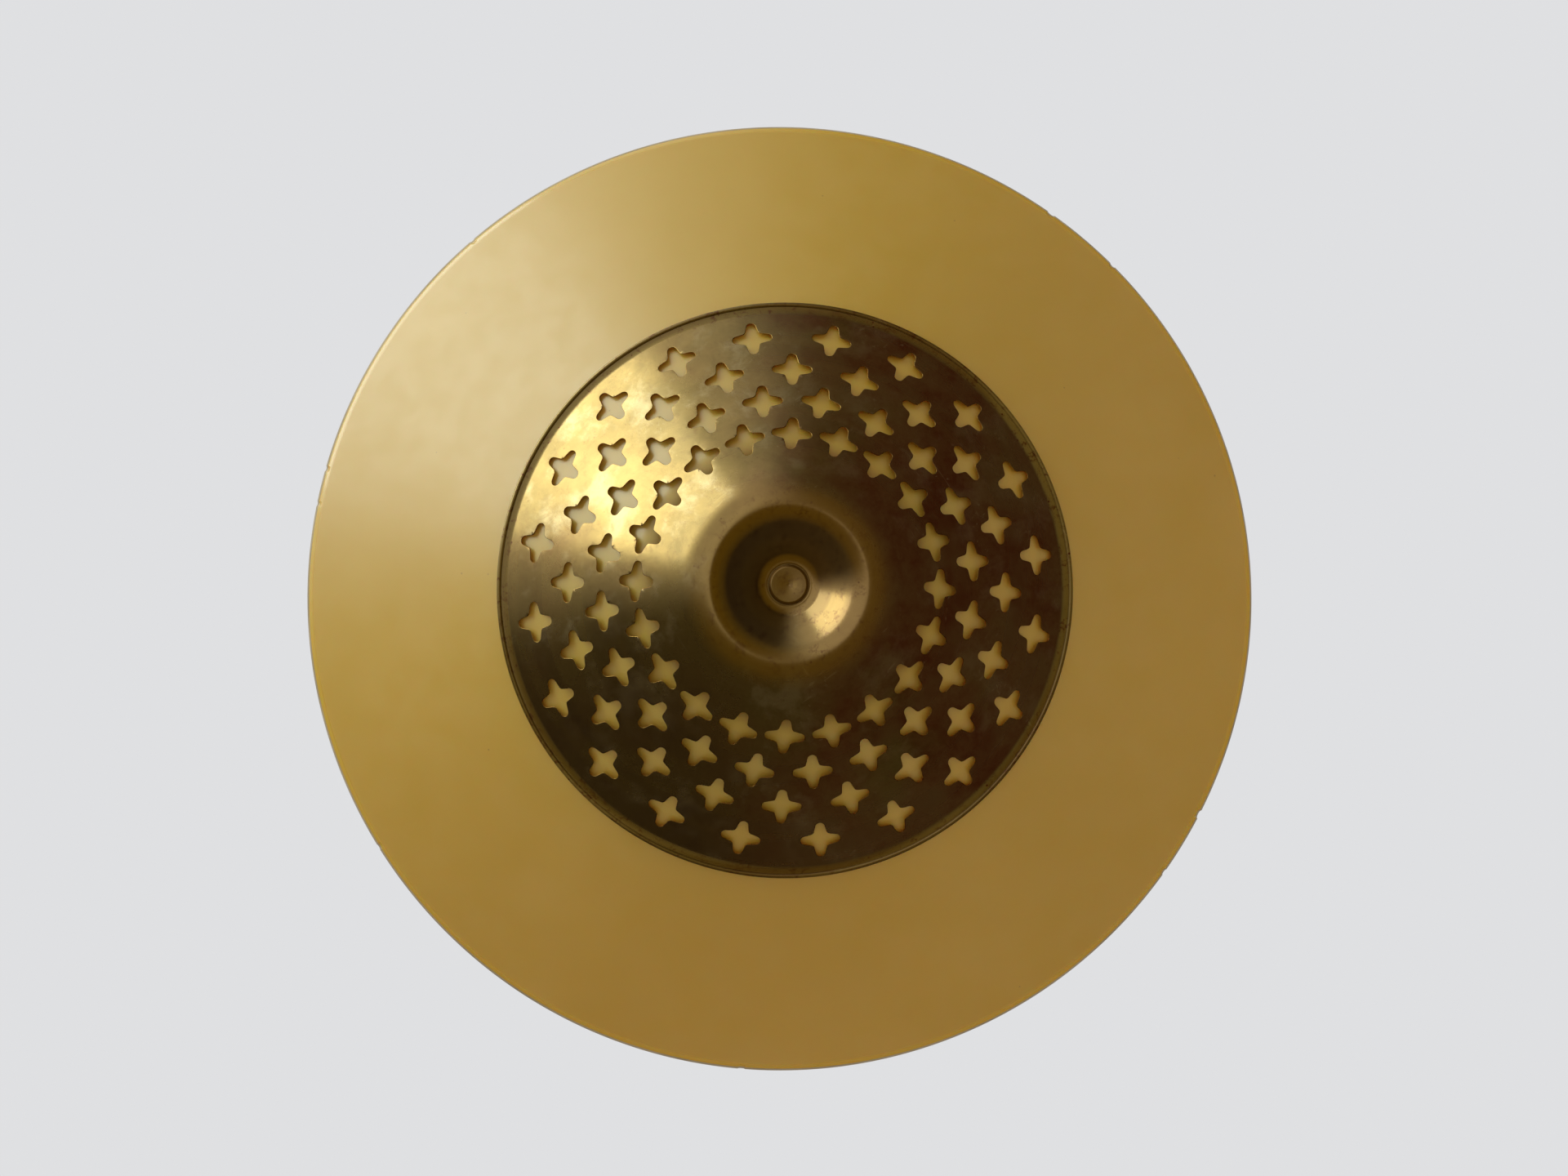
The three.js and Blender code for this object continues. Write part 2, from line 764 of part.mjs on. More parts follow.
// Twin lead from its sleeve, over the pan's floor, down through its grommet to its holder
function leadGeometry(index, column, bypass) {
  const [x, y] = polar(grommetCircle, around(index));
  const startX = column * blockPitch;
  const boreEnds = [panFloorTop + gap + grommetFlange, panFloorZ - gap - grommetFlange];
  const points = [
    new THREE.Vector3(startX, blockFrontY - leadLap, sleeveZ),
    new THREE.Vector3(startX, blockFrontY, sleeveZ),
    new THREE.Vector3(startX, blockFrontY + leadRadius, sleeveZ),
    ...bypass.map(([bypassX, bypassY]) => new THREE.Vector3(bypassX, bypassY, sleeveZ)),
    new THREE.Vector3(x, y, boreEnds[0] + leadRadius),
    new THREE.Vector3(x, y, boreEnds[0]),
    new THREE.Vector3(x, y, boreEnds[1]),
    new THREE.Vector3(x, y, boreEnds[1] - leadRadius),
    ...leadHolePoints(index, [2 * leadRadius, 0, -leadLap]),
  ];
  const path = new THREE.CatmullRomCurve3(points, false, 'centripetal');
  const section = outlineOf(arc([0, 0], leadRadius, 0, 360 - 360 / leadSides, leadSides - 1));
  return new THREE.ExtrudeGeometry(section, {
    steps: bypass.length > 0 ? bypassSteps : leadSteps,
    extrudePath: path,
    bevelEnabled: false,
  });
}

// Finishes
const finish = {
  opalGlass: { color: 0xd9bc72, roughness: 0.45, metalness: 0 },
  agedBrass: { color: 0x8f7433, roughness: 0.3, metalness: 1 },
  brass: { color: 0xc9a24d, roughness: 0.35, metalness: 1 },
  enamel: { color: 0xe9e5d8, roughness: 0.4, metalness: 0 },
  steel: { color: 0xa9aaa8, roughness: 0.4, metalness: 1 },
  porcelain: { color: 0xf0ece0, roughness: 0.25, metalness: 0 },
  felt: { color: 0x4d3f33, roughness: 0.95, metalness: 0 },
  rubber: { color: 0x262423, roughness: 0.8, metalness: 0 },
  leadCover: { color: 0xd8cfb4, roughness: 0.7, metalness: 0 },
  bulbGlass: { color: 0xf6f1e4, roughness: 0.3, metalness: 0 },
  copper: { color: 0xb8794a, roughness: 0.4, metalness: 1 },
};

const lamp = new THREE.Group();

function add(name, geometry, look, parent = lamp) {
  const mesh = new THREE.Mesh(closed(geometry), new THREE.MeshStandardMaterial(finish[look]));
  mesh.name = name;
  parent.add(mesh);
}

// Fixings at the ceiling
add('ceiling_strap', strapGeometry(), 'steel');
add('ceiling_pan', panGeometry(), 'enamel');
add('pan_locknut', hexNut(panFloorTop + gap + nutThickness), 'steel');
add('holder_bracket', bracketGeometry(), 'steel');
add('bracket_washer', ring(rodHole, washerRadius, washerTop - washerThickness, washerTop), 'steel');
add('bracket_nut', hexNut(nutTop), 'steel');

// Centre column
add('centre_rod', rod(rodRadius, rodEndZ, -strapThickness - gap), 'steel');
add('spacer_tube', ring(rodHole, spacerRadius, seatPlateTop + gap, spacerTop), 'brass');
add('seat_plate', seatPlateGeometry(), 'brass');

// Shade and cap, which come down together when the cap is unscrewed
add('upper_felt_washer', ring(
  rodHole, upperFeltRadius, upperFeltBottom, upperFeltBottom + feltThickness,
), 'felt');
add('glass_shade', shadeGeometry(), 'opalGlass');
add('lower_felt_washer', ring(
  bushBarrelRadius + gap, lowerFeltRadius, lowerFeltTop - feltThickness, lowerFeltTop,
), 'felt');
add('star_cap', capGeometry(), 'agedBrass');
add('cap_bush', bushGeometry(), 'agedBrass');

// Wiring inside the pan
add('terminal_block', blockGeometry(), 'porcelain');
add('block_screw', panScrewGeometry(blockTop + gap, blockScrewX, -blockDistance), 'steel');
add('earth_tag', earthTagGeometry(), 'copper');
add('earth_screw', panScrewGeometry(
  panFloorTop + 2 * gap + earthTagThickness, ...polar(earthDistance, earthAngle),
), 'brass');

// Each lead leaves the block on its holder's own side, and the far one rounds the rod
const leadColumns = [0, -1, 1];
const leadBypasses = [
  [[rodBypass, -rodBypass], [rodBypass, rodBypass / 2]],
  [],
  [],
];

for (let index = 0; index < holderCount; index += 1) {
  const number = index + 1;
  const column = leadColumns[index];
  const { turn, frame } = holderFrame(index);
  lamp.add(turn);
  add(`lampholder_${number}`, holderGeometry(), 'porcelain', frame);
  add(`socket_shell_${number}`, shellGeometry(), 'brass', frame);
  add(`socket_contact_${number}`, contactGeometry(), 'brass', frame);
  add(`holder_screw_${number}`, holderScrewGeometry(), 'steel', frame);
  add(`bulb_cap_${number}`, bulbCapGeometry(), 'brass', frame);
  add(`bulb_glass_${number}`, bulbGlassGeometry(), 'bulbGlass', frame);
  add(`terminal_sleeve_${number}`, sleeveGeometry(column), 'brass');
  add(`pan_grommet_${number}`, grommetGeometry(index), 'rubber');
  add(`holder_lead_${number}`, leadGeometry(index, column, leadBypasses[index]), 'leadCover');
}

export default lamp;
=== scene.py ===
import json
import math
import random

import bmesh
import bpy
from mathutils import Matrix, Vector, noise
from mathutils.geometry import delaunay_2d_cdt


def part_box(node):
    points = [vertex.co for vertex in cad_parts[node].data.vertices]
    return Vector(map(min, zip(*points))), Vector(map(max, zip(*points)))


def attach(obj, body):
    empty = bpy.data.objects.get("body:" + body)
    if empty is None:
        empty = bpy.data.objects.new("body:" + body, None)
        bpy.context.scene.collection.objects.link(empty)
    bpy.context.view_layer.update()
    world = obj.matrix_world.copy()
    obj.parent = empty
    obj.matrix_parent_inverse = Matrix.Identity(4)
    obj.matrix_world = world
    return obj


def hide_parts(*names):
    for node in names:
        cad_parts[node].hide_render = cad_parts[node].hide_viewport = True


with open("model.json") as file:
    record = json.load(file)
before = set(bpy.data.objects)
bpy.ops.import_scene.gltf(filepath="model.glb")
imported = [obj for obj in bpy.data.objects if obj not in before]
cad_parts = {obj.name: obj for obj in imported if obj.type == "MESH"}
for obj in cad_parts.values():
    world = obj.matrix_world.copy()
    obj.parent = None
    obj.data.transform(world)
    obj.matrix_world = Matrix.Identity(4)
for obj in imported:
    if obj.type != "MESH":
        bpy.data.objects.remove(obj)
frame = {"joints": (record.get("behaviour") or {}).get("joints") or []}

bl_info = {
    "name": "Star-cap ceiling lamp",
    "version": (1, 0, 0),
    "blender": (4, 5, 0),
    "location": "3D View > Sidebar > Lamp",
    "description": "Opal glass shade, pierced brass cap, lampholders and wiring of a ceiling lamp",
    "category": "Object",
}

MM = 0.001
GAP = 0.3 * MM
FULL_TURN = 2 * math.pi
SEAM = 0.01 * MM
FIXED = "ceiling_fitting"


def lowest(node):
    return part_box(node)[0].z


def highest(node):
    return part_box(node)[1].z


def reach_of(node):
    """How far a node reaches from the lamp's axis along X or Y, in metres."""
    low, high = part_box(node)
    return max(-low.x, -low.y, high.x, high.y)


# Glass shade
SHADE_RIM_BAND = 3.4 * MM
SHADE_RIM_ROUND = 6 * MM
SHADE_RIM_STEEP = 60
SHADE_GROUND_WIDTH = 1 * MM
SHADE_GROUND_RISE = 2.3 * MM
SHADE_FLAT_RADIUS = 66.5 * MM
SHADE_KNEE_ROUND = 15 * MM
SHADE_HOLE_RADIUS = 10 * MM
SHADE_CONE_ROWS = 20
SHADE_SIDES = 480
# Width and fade of the smoother rim band, whose paler colour is a painted highlight
SHADE_POLISH_AND_HIGHLIGHT_BAND = 2.8 * MM
SHADE_POLISH_AND_HIGHLIGHT_FADE = 0.8 * MM
CHIP_STEPS = 12
RIM_CHIPS = (  # angle round the rim, half width in degrees, depth
    (-168.8, 0.3, 0.3 * MM),
    (-164.4, 0.32, 0.4 * MM),
    (-131.0, 0.35, 0.35 * MM),
    (-54.8, 0.5, 0.6 * MM),
    (-45.0, 0.4, 0.5 * MM),
    (27.5, 0.55, 0.75 * MM),
    (35.7, 0.4, 0.45 * MM),
    (94.8, 0.45, 0.35 * MM),
    (148.0, 0.35, 0.3 * MM),
)

# Brass cap and its bush
CAP_SHEET = 0.8 * MM
CAP_CREST_RADIUS = 36 * MM
CAP_CREST_ROUND = 18.5 * MM
CAP_CREST_TURN = 27
CAP_SHOULDER_ROUND = 45 * MM
CAP_DIMPLE_SLOPE = 35
CAP_DIMPLE_EDGE = 14 * MM
CAP_BORE = 9.6 * MM
CAP_SEAT_RADIUS = 10.3 * MM
CAP_LIP_ROUND = 6 * MM
CAP_LIP_WIDTH = 0.9 * MM
CAP_BEAD_RADIUS = 1.1 * MM
CAP_SIDES = 240
CAP_ROW_STEP = 2.6 * MM
CAP_UNEVENNESS = 0.16 * MM
CAP_DENT_SCALE = 32
CAP_LIP_BAND = 4.5 * MM
CAP_LIP_FADE = 1.5 * MM
# Span along X over which the cap's brass turns duller and browner: partly tarnish, partly painted shade
CAP_TARNISH_AND_SHADE_SIDE = (-80 * MM, 60 * MM)
CAP_CLEAR_RADIUS = 34 * MM
CAP_CLEAR_FADE = 16 * MM
STAR_RINGS = (  # radius, first star's angle, twist in degrees
    (116.0 * MM, -7.7, 2.5),
    (100.2 * MM, 1.3, 0.5),
    (84.9 * MM, -7.7, 3.8),
    (68.7 * MM, 1.3, 4.2),
)
STARS_PER_RING = 20
STAR_WAIST = 4.75 * MM
STAR_WAIST_ROUND = 1.7 * MM
STAR_EDGE = 0.2 * MM
STAR_BREAK = 0.3 * MM
BUSH_FACE_RADIUS = 9 * MM
BUSH_FACE_PROUD = 0.8 * MM
BUSH_FLANGE_RADIUS = 14 * MM
BUSH_FLANGE_THICKNESS = 3 * MM
BUSH_BARREL_RADIUS = 8.2 * MM
BUSH_END_THICKNESS = 2.2 * MM

# Rod, nuts, washers and plates
ROD_RADIUS = 5 * MM
ROD_HOLE = ROD_RADIUS + GAP
ROD_PITCH = 1 * MM
SPACER_RADIUS = 8 * MM
WASHER_RADIUS = 10 * MM
NUT_ACROSS_FLATS = 15 * MM
NUT_CHAMFER = 25
SEAT_PLATE_RADIUS = 31 * MM
SEAT_PLATE_SHEET = 2 * MM
UPPER_FELT_RADIUS = 28 * MM
LOWER_FELT_RADIUS = 22 * MM
LOWER_FELT_THICKNESS = 2 * MM

# Ceiling strap and pan
STRAP_THICKNESS = 3 * MM
STRAP_SLOT_SPACING = 84 * MM
STRAP_SLOT_LENGTH = 14 * MM
STRAP_SLOT_RADIUS = 2.5 * MM
STRAP_BOSS_RADIUS = 8 * MM
PAN_RADIUS = 85 * MM
PAN_SHEET = 1.2 * MM
PAN_CORNER = 8 * MM
PAN_FLANGE = 5 * MM
PAN_SIDES = 180

# Lampholders, bulbs and their bracket
BRACKET_THICKNESS = 2 * MM
BRACKET_ARM_WIDTH = 16 * MM
BRACKET_ARM_LENGTH = 46 * MM
BRACKET_ARM_CORNER = 2.5 * MM
BRACKET_SCREW_DROP = 34 * MM
HOLDER_RADIUS = 15 * MM
HOLDER_LENGTH = 34 * MM
HOLDER_BACK = 10 * MM
HOLDER_NECK_RADIUS = 12.5 * MM
HOLDER_NECK_LENGTH = 9 * MM
SOCKET_RADIUS = 8.4 * MM
SHELL_WALL = 0.7 * MM
CONTACT_THICKNESS = 0.5 * MM
CONTACT_RISE = 1.4 * MM
BULB_CAP_RADIUS = 6.95 * MM
BULB_CAP_LENGTH = 19 * MM
BULB_LENGTH = 76 * MM
LAMP_THREAD_PITCH = 2.82 * MM

# Wiring
BLOCK_LENGTH = 44 * MM
BLOCK_WIDTH = 16 * MM
BLOCK_DISTANCE = 54 * MM
BLOCK_FRONT = -BLOCK_DISTANCE + BLOCK_WIDTH / 2
BLOCK_PITCH = 14 * MM
SLEEVE_RADIUS = 3 * MM
SLEEVE_WALL = 0.8 * MM
LEAD_RADIUS = 1.6 * MM
LEAD_LAP = 4 * MM
LEAD_ENTRY = 9 * MM
LEAD_PLAY = 0.7 * MM
GROMMET_CIRCLE = 35 * MM
GROMMET_RADIUS = 6.4 * MM
GROMMET_FLANGE = 1.2 * MM
GROMMET_NECK = 4.6 * MM
EARTH_ANGLE = 150
EARTH_DISTANCE = 50 * MM
EARTH_TAG_LENGTH = 18 * MM
EARTH_TAG_WIDTH = 8 * MM
EARTH_TAG_THICKNESS = 0.8 * MM
SCREW_HEAD_HEIGHT = 1.8 * MM
SCREW_PITCH = 0.7 * MM
SMALL_SCREW_RADIUS = 1.5 * MM
HOLDER_SCREW_RADIUS = 2 * MM
SMALL_SCREW = (3 * MM, SMALL_SCREW_RADIUS)
HOLDER_SCREW = (3.8 * MM, HOLDER_SCREW_RADIUS)
TERMINAL_SCREW = (1.9 * MM, 1.2 * MM)
HOLE_PLAY = 0.4 * MM
LEAD_COLUMNS = (0, -1, 1)
LEAD_BYPASSES = (
    ((17 * MM, -17 * MM), (17 * MM, 8.5 * MM)),
    (),
    (),
)

# Levels read from the parts of model.glb
SHADE_RIM_TOP = highest("glass_shade")
SHADE_BOTTOM = lowest("glass_shade")
CAP_CREST_Z = lowest("star_cap")
BUSH_FACE_Z = lowest("cap_bush")
CAP_SEAT_Z = BUSH_FACE_Z + BUSH_FACE_PROUD
PAN_FLOOR = lowest("ceiling_pan")
PAN_FLOOR_TOP = PAN_FLOOR + PAN_SHEET

# Stage
CAMERA_PLACE = Vector((-63, 97, -2100)) * MM
CAMERA_AIM = Vector((1.4, -3.9, -28.5)) * MM
CAMERA_LENS = 100
FLOOR_Z = -2.45
FLOOR_SIZE = 40
FLOOR_LIFT = 0.5
KEY_DIRECTION = Vector((-0.785, -0.613, -0.087))
KEY_DISTANCE = 1.7
KEY_WIDTH = 1.4
KEY_POWER = 15
KEY_COLOUR = (0.93, 1.0, 0.93)
TOP_PLACE = Vector((0.5, -0.4, 1.5))
TOP_WIDTH = 1.2
TOP_POWER = 14
FILL_COLOUR = (1.0, 0.84, 0.66, 1)
FILL_STRENGTH = 0.5
CARD_SECTION = ((1.9, 2.0), (1.9, -1.6), (1.1, -2.3), (0.0, -2.4))
CARD_MIDDLE, CARD_REACH, CARD_SOLID = 45, 154, 122
CARD_STEPS = 60
CARD_SHADE_END = -0.6
CARD_BROWN = (0.014, 0.0035, 0.0005, 1)
CARD_OLIVE = (0.2, 0.145, 0.01, 1)
BACKDROP = (0.74, 0.745, 0.76, 1)

# Finishes
DUST_GREY = (0.36, 0.34, 0.3, 1)
PATCH_WARP = 0.012
THREADS_ROUND = 8.0


def length_property(name, description, default, least):
    return bpy.props.FloatProperty(
        name=name, description=description, default=default, min=least, unit="LENGTH",
    )


def slope_property(name, description, degrees):
    return bpy.props.FloatProperty(
        name=name, description=description, default=math.radians(degrees), subtype="ANGLE",
    )


def colour_property(name, description, default):
    return bpy.props.FloatVectorProperty(
        name=name, description=description, default=default,
        subtype="COLOR", size=4, min=0, max=1,
    )


class LampSizes(bpy.types.PropertyGroup):
    """Sizes of the pieces that show."""

    shade_radius: length_property(
        "Shade radius", "Radius of the glass shade's rim", reach_of("glass_shade"), 100 * MM)
    shade_wall: length_property("Shade wall", "Thickness of the glass", 4.5 * MM, 1 * MM)
    shade_slope: slope_property("Shade slope", "Slope of the glass cone from level", 33)
    cap_radius: length_property("Cap radius", "Radius of the brass cap's beaded rim", 133 * MM, 80 * MM)
    cap_slope: slope_property("Cap slope", "Slope of the brass cone from level", 34)
    star_reach: length_property(
        "Star reach", "From a star's middle to the end of an arm", 9.15 * MM, 2 * MM)
    star_tip: length_property(
        "Star tip radius", "Radius of the round end of a star's arm", 2.15 * MM, 0.5 * MM)
    bulb_radius: length_property("Bulb radius", "Radius of a bulb's round glass", 22.5 * MM, 5 * MM)


class LampColours(bpy.types.PropertyGroup):
    """Colours of the finishes, as scene-linear values."""

    glass: colour_property("Glass", "Amber of the opal glass", (0.59, 0.435, 0.04, 1))
    glass_cream: colour_property("Glass cream", "Paler clouds in the glass", (0.67, 0.52, 0.1, 1))
    ground_edge: colour_property("Ground edge", "Matt edge of the glass", (0.5, 0.43, 0.3, 1))
    brass: colour_property("Brass", "Old brass", (0.5, 0.33, 0.09, 1))
    brass_rubbed: colour_property("Rubbed brass", "Blotches rubbed clean", (0.66, 0.53, 0.26, 1))
    brass_brown: colour_property("Brown tarnish", "Red-brown tarnish", (0.14, 0.032, 0.003, 1))
    brass_olive: colour_property("Olive tarnish", "Olive tarnish", (0.14, 0.1, 0.01, 1))
    # The lip's lighter olive is partly wear and partly a painted reflection of the paler space below the lamp
    brass_lip_wear_and_reflection: colour_property("Worn lip", "Light olive of the cap's rim", (0.28, 0.2, 0.04, 1))
    clean_brass: colour_property("Turned brass", "Brass of the inner pieces", (0.66, 0.47, 0.19, 1))
    steel: colour_property("Steel", "Zinc-plated steel", (0.5, 0.5, 0.48, 1))
    enamel: colour_property("Enamel", "White stoving enamel", (0.74, 0.71, 0.62, 1))
    porcelain: colour_property("Porcelain", "White glazed porcelain", (0.78, 0.75, 0.68, 1))
    felt: colour_property("Felt", "Brown pressed felt", (0.085, 0.055, 0.035, 1))
    rubber: colour_property("Rubber", "Black rubber", (0.025, 0.024, 0.023, 1))
    sleeving: colour_property("Sleeving", "Woven cotton sleeving", (0.5, 0.43, 0.28, 1))
    bulb: colour_property("Bulb", "Opal white bulb glass", (0.8, 0.78, 0.72, 1))
    copper: colour_property("Copper", "Earth tag", (0.62, 0.32, 0.17, 1))
    floor: colour_property("Floor", "Plain pale floor", (0.74, 0.73, 0.71, 1))


# Outlines


def polar(radius, angle):
    """A point in the plane, angle in degrees."""
    return Vector((math.cos(math.radians(angle)), math.sin(math.radians(angle)))) * radius


def arc(centre, radius, start, end, steps):
    return [
        Vector(centre) + polar(radius, start + (end - start) * step / steps)
        for step in range(steps + 1)
    ]


def rounded(points, radius, steps=3, closed=False):
    """The outline with each corner turned into an arc. A point's third value is its own radius."""
    flat = [Vector(point[:2]) for point in points]
    radii = [point[2] if len(point) > 2 else radius for point in points]
    count = len(flat)
    result = []
    for index, corner in enumerate(flat):
        if not closed and index in (0, count - 1):
            result.append(corner)
            continue
        to_last = flat[index - 1] - corner
        to_next = flat[(index + 1) % count] - corner
        half = to_last.angle(to_next) / 2
        if radii[index] <= 0 or half > math.radians(89):
            result.append(corner)
            continue
        reach = min(radii[index] / math.tan(half), 0.48 * to_last.length, 0.48 * to_next.length)
        start = corner + to_last.normalized() * reach
        end = corner + to_next.normalized() * reach
        middle = (to_last.normalized() + to_next.normalized()).normalized()
        centre = corner + middle * (reach / math.cos(half))
        spoke = (start - centre).length
        for step in range(steps + 1):
            result.append(centre + (start - centre).slerp(end - centre, step / steps) * spoke)
    return result


def band(inner, outer, low, high):
    """The section of a plain ring."""
    return [(inner, low), (outer, low), (outer, high), (inner, high)]


def circle(centre, radius, steps):
    """A round loop as a function of how far it is grown."""
    def loop(grown):
        return arc(centre, radius + grown, 0, 360 - 360 / steps, steps - 1)
    return loop


def stadium(centre, half_length, radius, angle=0, steps=10):
    """A slot's loop, round at both ends, as a function of how far it is grown."""
    along = polar(half_length, angle)

    def loop(grown):
        right = arc(Vector(centre) + along, radius + grown, angle - 90, angle + 90, steps)
        left = arc(Vector(centre) - along, radius + grown, angle + 90, angle + 270, steps)
        return right + left
    return loop


def rectangle(half_x, half_y, corner, steps=4):
    def loop(grown):
        x, y = half_x + grown, half_y + grown
        points = [(x, -y), (x, y), (-x, y), (-x, -y)]
        return rounded(points, corner + grown, steps, closed=True)
    return loop


def star(sizes, grown):
    """One four-armed star about its own middle, arms along both axes."""
    tip_centre = sizes.star_reach - sizes.star_tip
    waist_centre = STAR_WAIST + STAR_WAIST_ROUND
    gap = polar(waist_centre, 45) - Vector((tip_centre, 0))
    lean = math.degrees(math.atan2(gap.y, gap.x))
    spread = lean - math.degrees(math.acos((sizes.star_tip + STAR_WAIST_ROUND) / gap.length))
    waist_spread = spread - 45
    points = []
    for arm in range(0, 360, 90):
        points += arc(polar(tip_centre, arm), sizes.star_tip + grown, arm - spread, arm + spread, 8)
        points += arc(
            polar(waist_centre, arm + 45), STAR_WAIST_ROUND - grown,
            arm + 225 + waist_spread, arm + 225 - waist_spread, 4,
        )
    return points


# Meshes


def lathe(bm, profile, sides, bend=None, closed=False, materials=None, bearings=None):
    """Adds a surface turned about Z from (radius, z) points. bend moves a point round the turn,
    and bearings are angles in the place of even ones."""
    if not bearings:
        bearings = [FULL_TURN * side / sides for side in range(sides)]
    sides = len(bearings)
    rows = []
    for radius, z in profile:
        if radius < 1e-7:
            rows.append([bm.verts.new((0, 0, z))])
            continue
        row = []
        for angle in bearings:
            r, height = bend(radius, z, angle) if bend else (radius, z)
            row.append(bm.verts.new((r * math.cos(angle), r * math.sin(angle), height)))
        rows.append(row)
    if closed:
        rows.append(rows[0])
    for number, (first, second) in enumerate(zip(rows, rows[1:])):
        index = materials(number) if materials else 0
        for side in range(sides):
            after = (side + 1) % sides
            corners = [first[side % len(first)], first[after % len(first)],
                       second[after % len(second)], second[side % len(second)]]
            face = bm.faces.new(list(dict.fromkeys(corners)))
            face.material_index = index


def edge_steps(edge, thickness, flare=0.0):
    """Offset and depth of each ring round a hole, from the front face to the back one."""
    soft = 0.3 * edge
    return [
        (edge, 0), (soft, soft), (0, edge),
        (flare, thickness - edge), (flare + soft, thickness - soft), (flare + edge, thickness),
    ]


def pierced(bm, place, thickness, edge, outline=None, holes=(), borders=(), inside=(), cut=0, flare=0.0):
    """Adds a sheet with holes. place puts (x, y, depth) in space. outline and holes are loops as
    functions of how far they are grown, borders are fixed loops left open, inside holds points
    that even out the mesh, cut is the material of the sheet's edges, and holes widen by flare."""
    loops = [(hole, 1) for hole in holes]
    if outline:
        loops.append((outline, -1))
    flat, front, back, regions = [], [], [], []

    def take(points, near, far):
        start = len(flat)
        flat.extend(points)
        front.extend(near)
        back.extend(far)
        regions.append(list(range(start, start + len(points))))

    for loop, way in loops:
        rings = []
        for offset, depth in edge_steps(edge, thickness, flare if way > 0 else 0):
            points = loop(way * offset)
            rings.append([bm.verts.new(place(x, y, depth)) for x, y in points])
        take(loop(way * edge), rings[0], rings[-1])
        for first, second in zip(rings, rings[1:]):
            for i in range(len(first)):
                j = (i + 1) % len(first)
                bm.faces.new((first[i], first[j], second[j], second[i])).material_index = cut
    for border in borders:
        take(
            border,
            [bm.verts.new(place(x, y, 0)) for x, y in border],
            [bm.verts.new(place(x, y, thickness)) for x, y in border],
        )
    flat.extend(inside)
    front.extend(bm.verts.new(place(x, y, 0)) for x, y in inside)
    back.extend(bm.verts.new(place(x, y, thickness)) for x, y in inside)
    made = delaunay_2d_cdt(flat, [], regions, 2, 1e-8)
    source = [origins[0] for origins in made[3]]
    for corners in made[2]:
        ids = [source[corner] for corner in corners]
        bm.faces.new([front[i] for i in ids])
        bm.faces.new([back[i] for i in reversed(ids)])


def level(z):
    """Places a sheet's points flat, with its front face at z and its depth downwards."""
    return lambda x, y, depth: Vector((x, y, z - depth))


def wave(turns):
    return 0.5 + 0.5 * math.cos(FULL_TURN * turns)


def threaded(start, end, depth, pitch, fade=1.5):
    """A bend that cuts a right-hand thread between two heights, fading out at both ends."""
    def bend(radius, z, angle):
        into = min(z - start, end - z) / (fade * pitch)
        strength = max(0.0, min(1.0, into))
        return radius - depth * strength * wave(z / pitch - angle / FULL_TURN), z
    return bend


def thread_rows(radius, start, end, pitch, per_turn=8):
    rows = math.ceil((end - start) / pitch * per_turn)
    return [(radius, start + (end - start) * row / rows) for row in range(rows + 1)]


def catmull_rom(points, steps):
    """Points along a smooth curve through the given ones, spaced by the square root of length."""
    points = [2 * points[0] - points[1], *points, 2 * points[-1] - points[-2]]
    path = []
    for before, start, end, after in zip(points, points[1:], points[2:], points[3:]):
        d0, d1, d2 = [math.sqrt((b - a).length) for a, b in ((before, start), (start, end), (end, after))]
        leave = ((start - before) / d0 - (end - before) / (d0 + d1)) * d1 + (end - start)
        arrive = (end - start) - (after - start) / (d1 + d2) * d1 + (after - end) / d2 * d1
        for step in range(steps):
            t = step / steps
            path.append(
                start * (2 * t**3 - 3 * t**2 + 1) + leave * (t**3 - 2 * t**2 + t)
                + end * (3 * t**2 - 2 * t**3) + arrive * (t**3 - t**2)
            )
    return [*path, points[-2]]


def strand(bm, path, radius, offset=0.0, phase=0.0, turns=0.0, sides=10):
    """Adds a round tube along a path, wound round it at an offset, with its ends closed."""
    uv = bm.loops.layers.uv.verify()
    tangents = [(b - a).normalized() for a, b in zip(path, path[1:])]
    tangents.append(tangents[-1])
    side = tangents[0].orthogonal().normalized()
    rings, travel, lengths = [], 0.0, []
    for index, (point, tangent) in enumerate(zip(path, tangents)):
        side = (side - tangent * side.dot(tangent)).normalized()
        up = tangent.cross(side)
        wound = phase + FULL_TURN * turns * index / (len(path) - 1)
        centre = point + (side * math.cos(wound) + up * math.sin(wound)) * offset
        ring = []
        for step in range(sides):
            angle = FULL_TURN * step / sides
            ring.append(bm.verts.new(centre + (side * math.cos(angle) + up * math.sin(angle)) * radius))
        rings.append(ring)
        lengths.append(travel)
        travel += (path[min(index + 1, len(path) - 1)] - point).length
    for row, (first, second) in enumerate(zip(rings, rings[1:])):
        for step in range(sides):
            after = (step + 1) % sides
            face = bm.faces.new((first[step], first[after], second[after], second[step]))
            corners = ((step, row), (step + 1, row), (step + 1, row + 1), (step, row + 1))
            for loop, (u, v) in zip(face.loops, corners):
                loop[uv].uv = (u / sides, lengths[v] / (FULL_TURN * radius))
    for ring in (rings[0], rings[-1]):
        bm.faces.new(ring)


def finish_mesh(name, bm, finishes, place=None):
    """Turns the mesh under construction into an object with its finishes."""
    bmesh.ops.remove_doubles(bm, verts=bm.verts, dist=1e-7)
    bmesh.ops.recalc_face_normals(bm, faces=bm.faces)
    mesh = bpy.data.meshes.new(name)
    bm.to_mesh(mesh)
    bm.free()
    if place:
        mesh.transform(place)
    mesh.polygons.foreach_set("use_smooth", [True] * len(mesh.polygons))
    for look in finishes:
        mesh.materials.append(look)
    made = bpy.data.objects.new(name, mesh)
    bpy.context.scene.collection.objects.link(made)
    return made


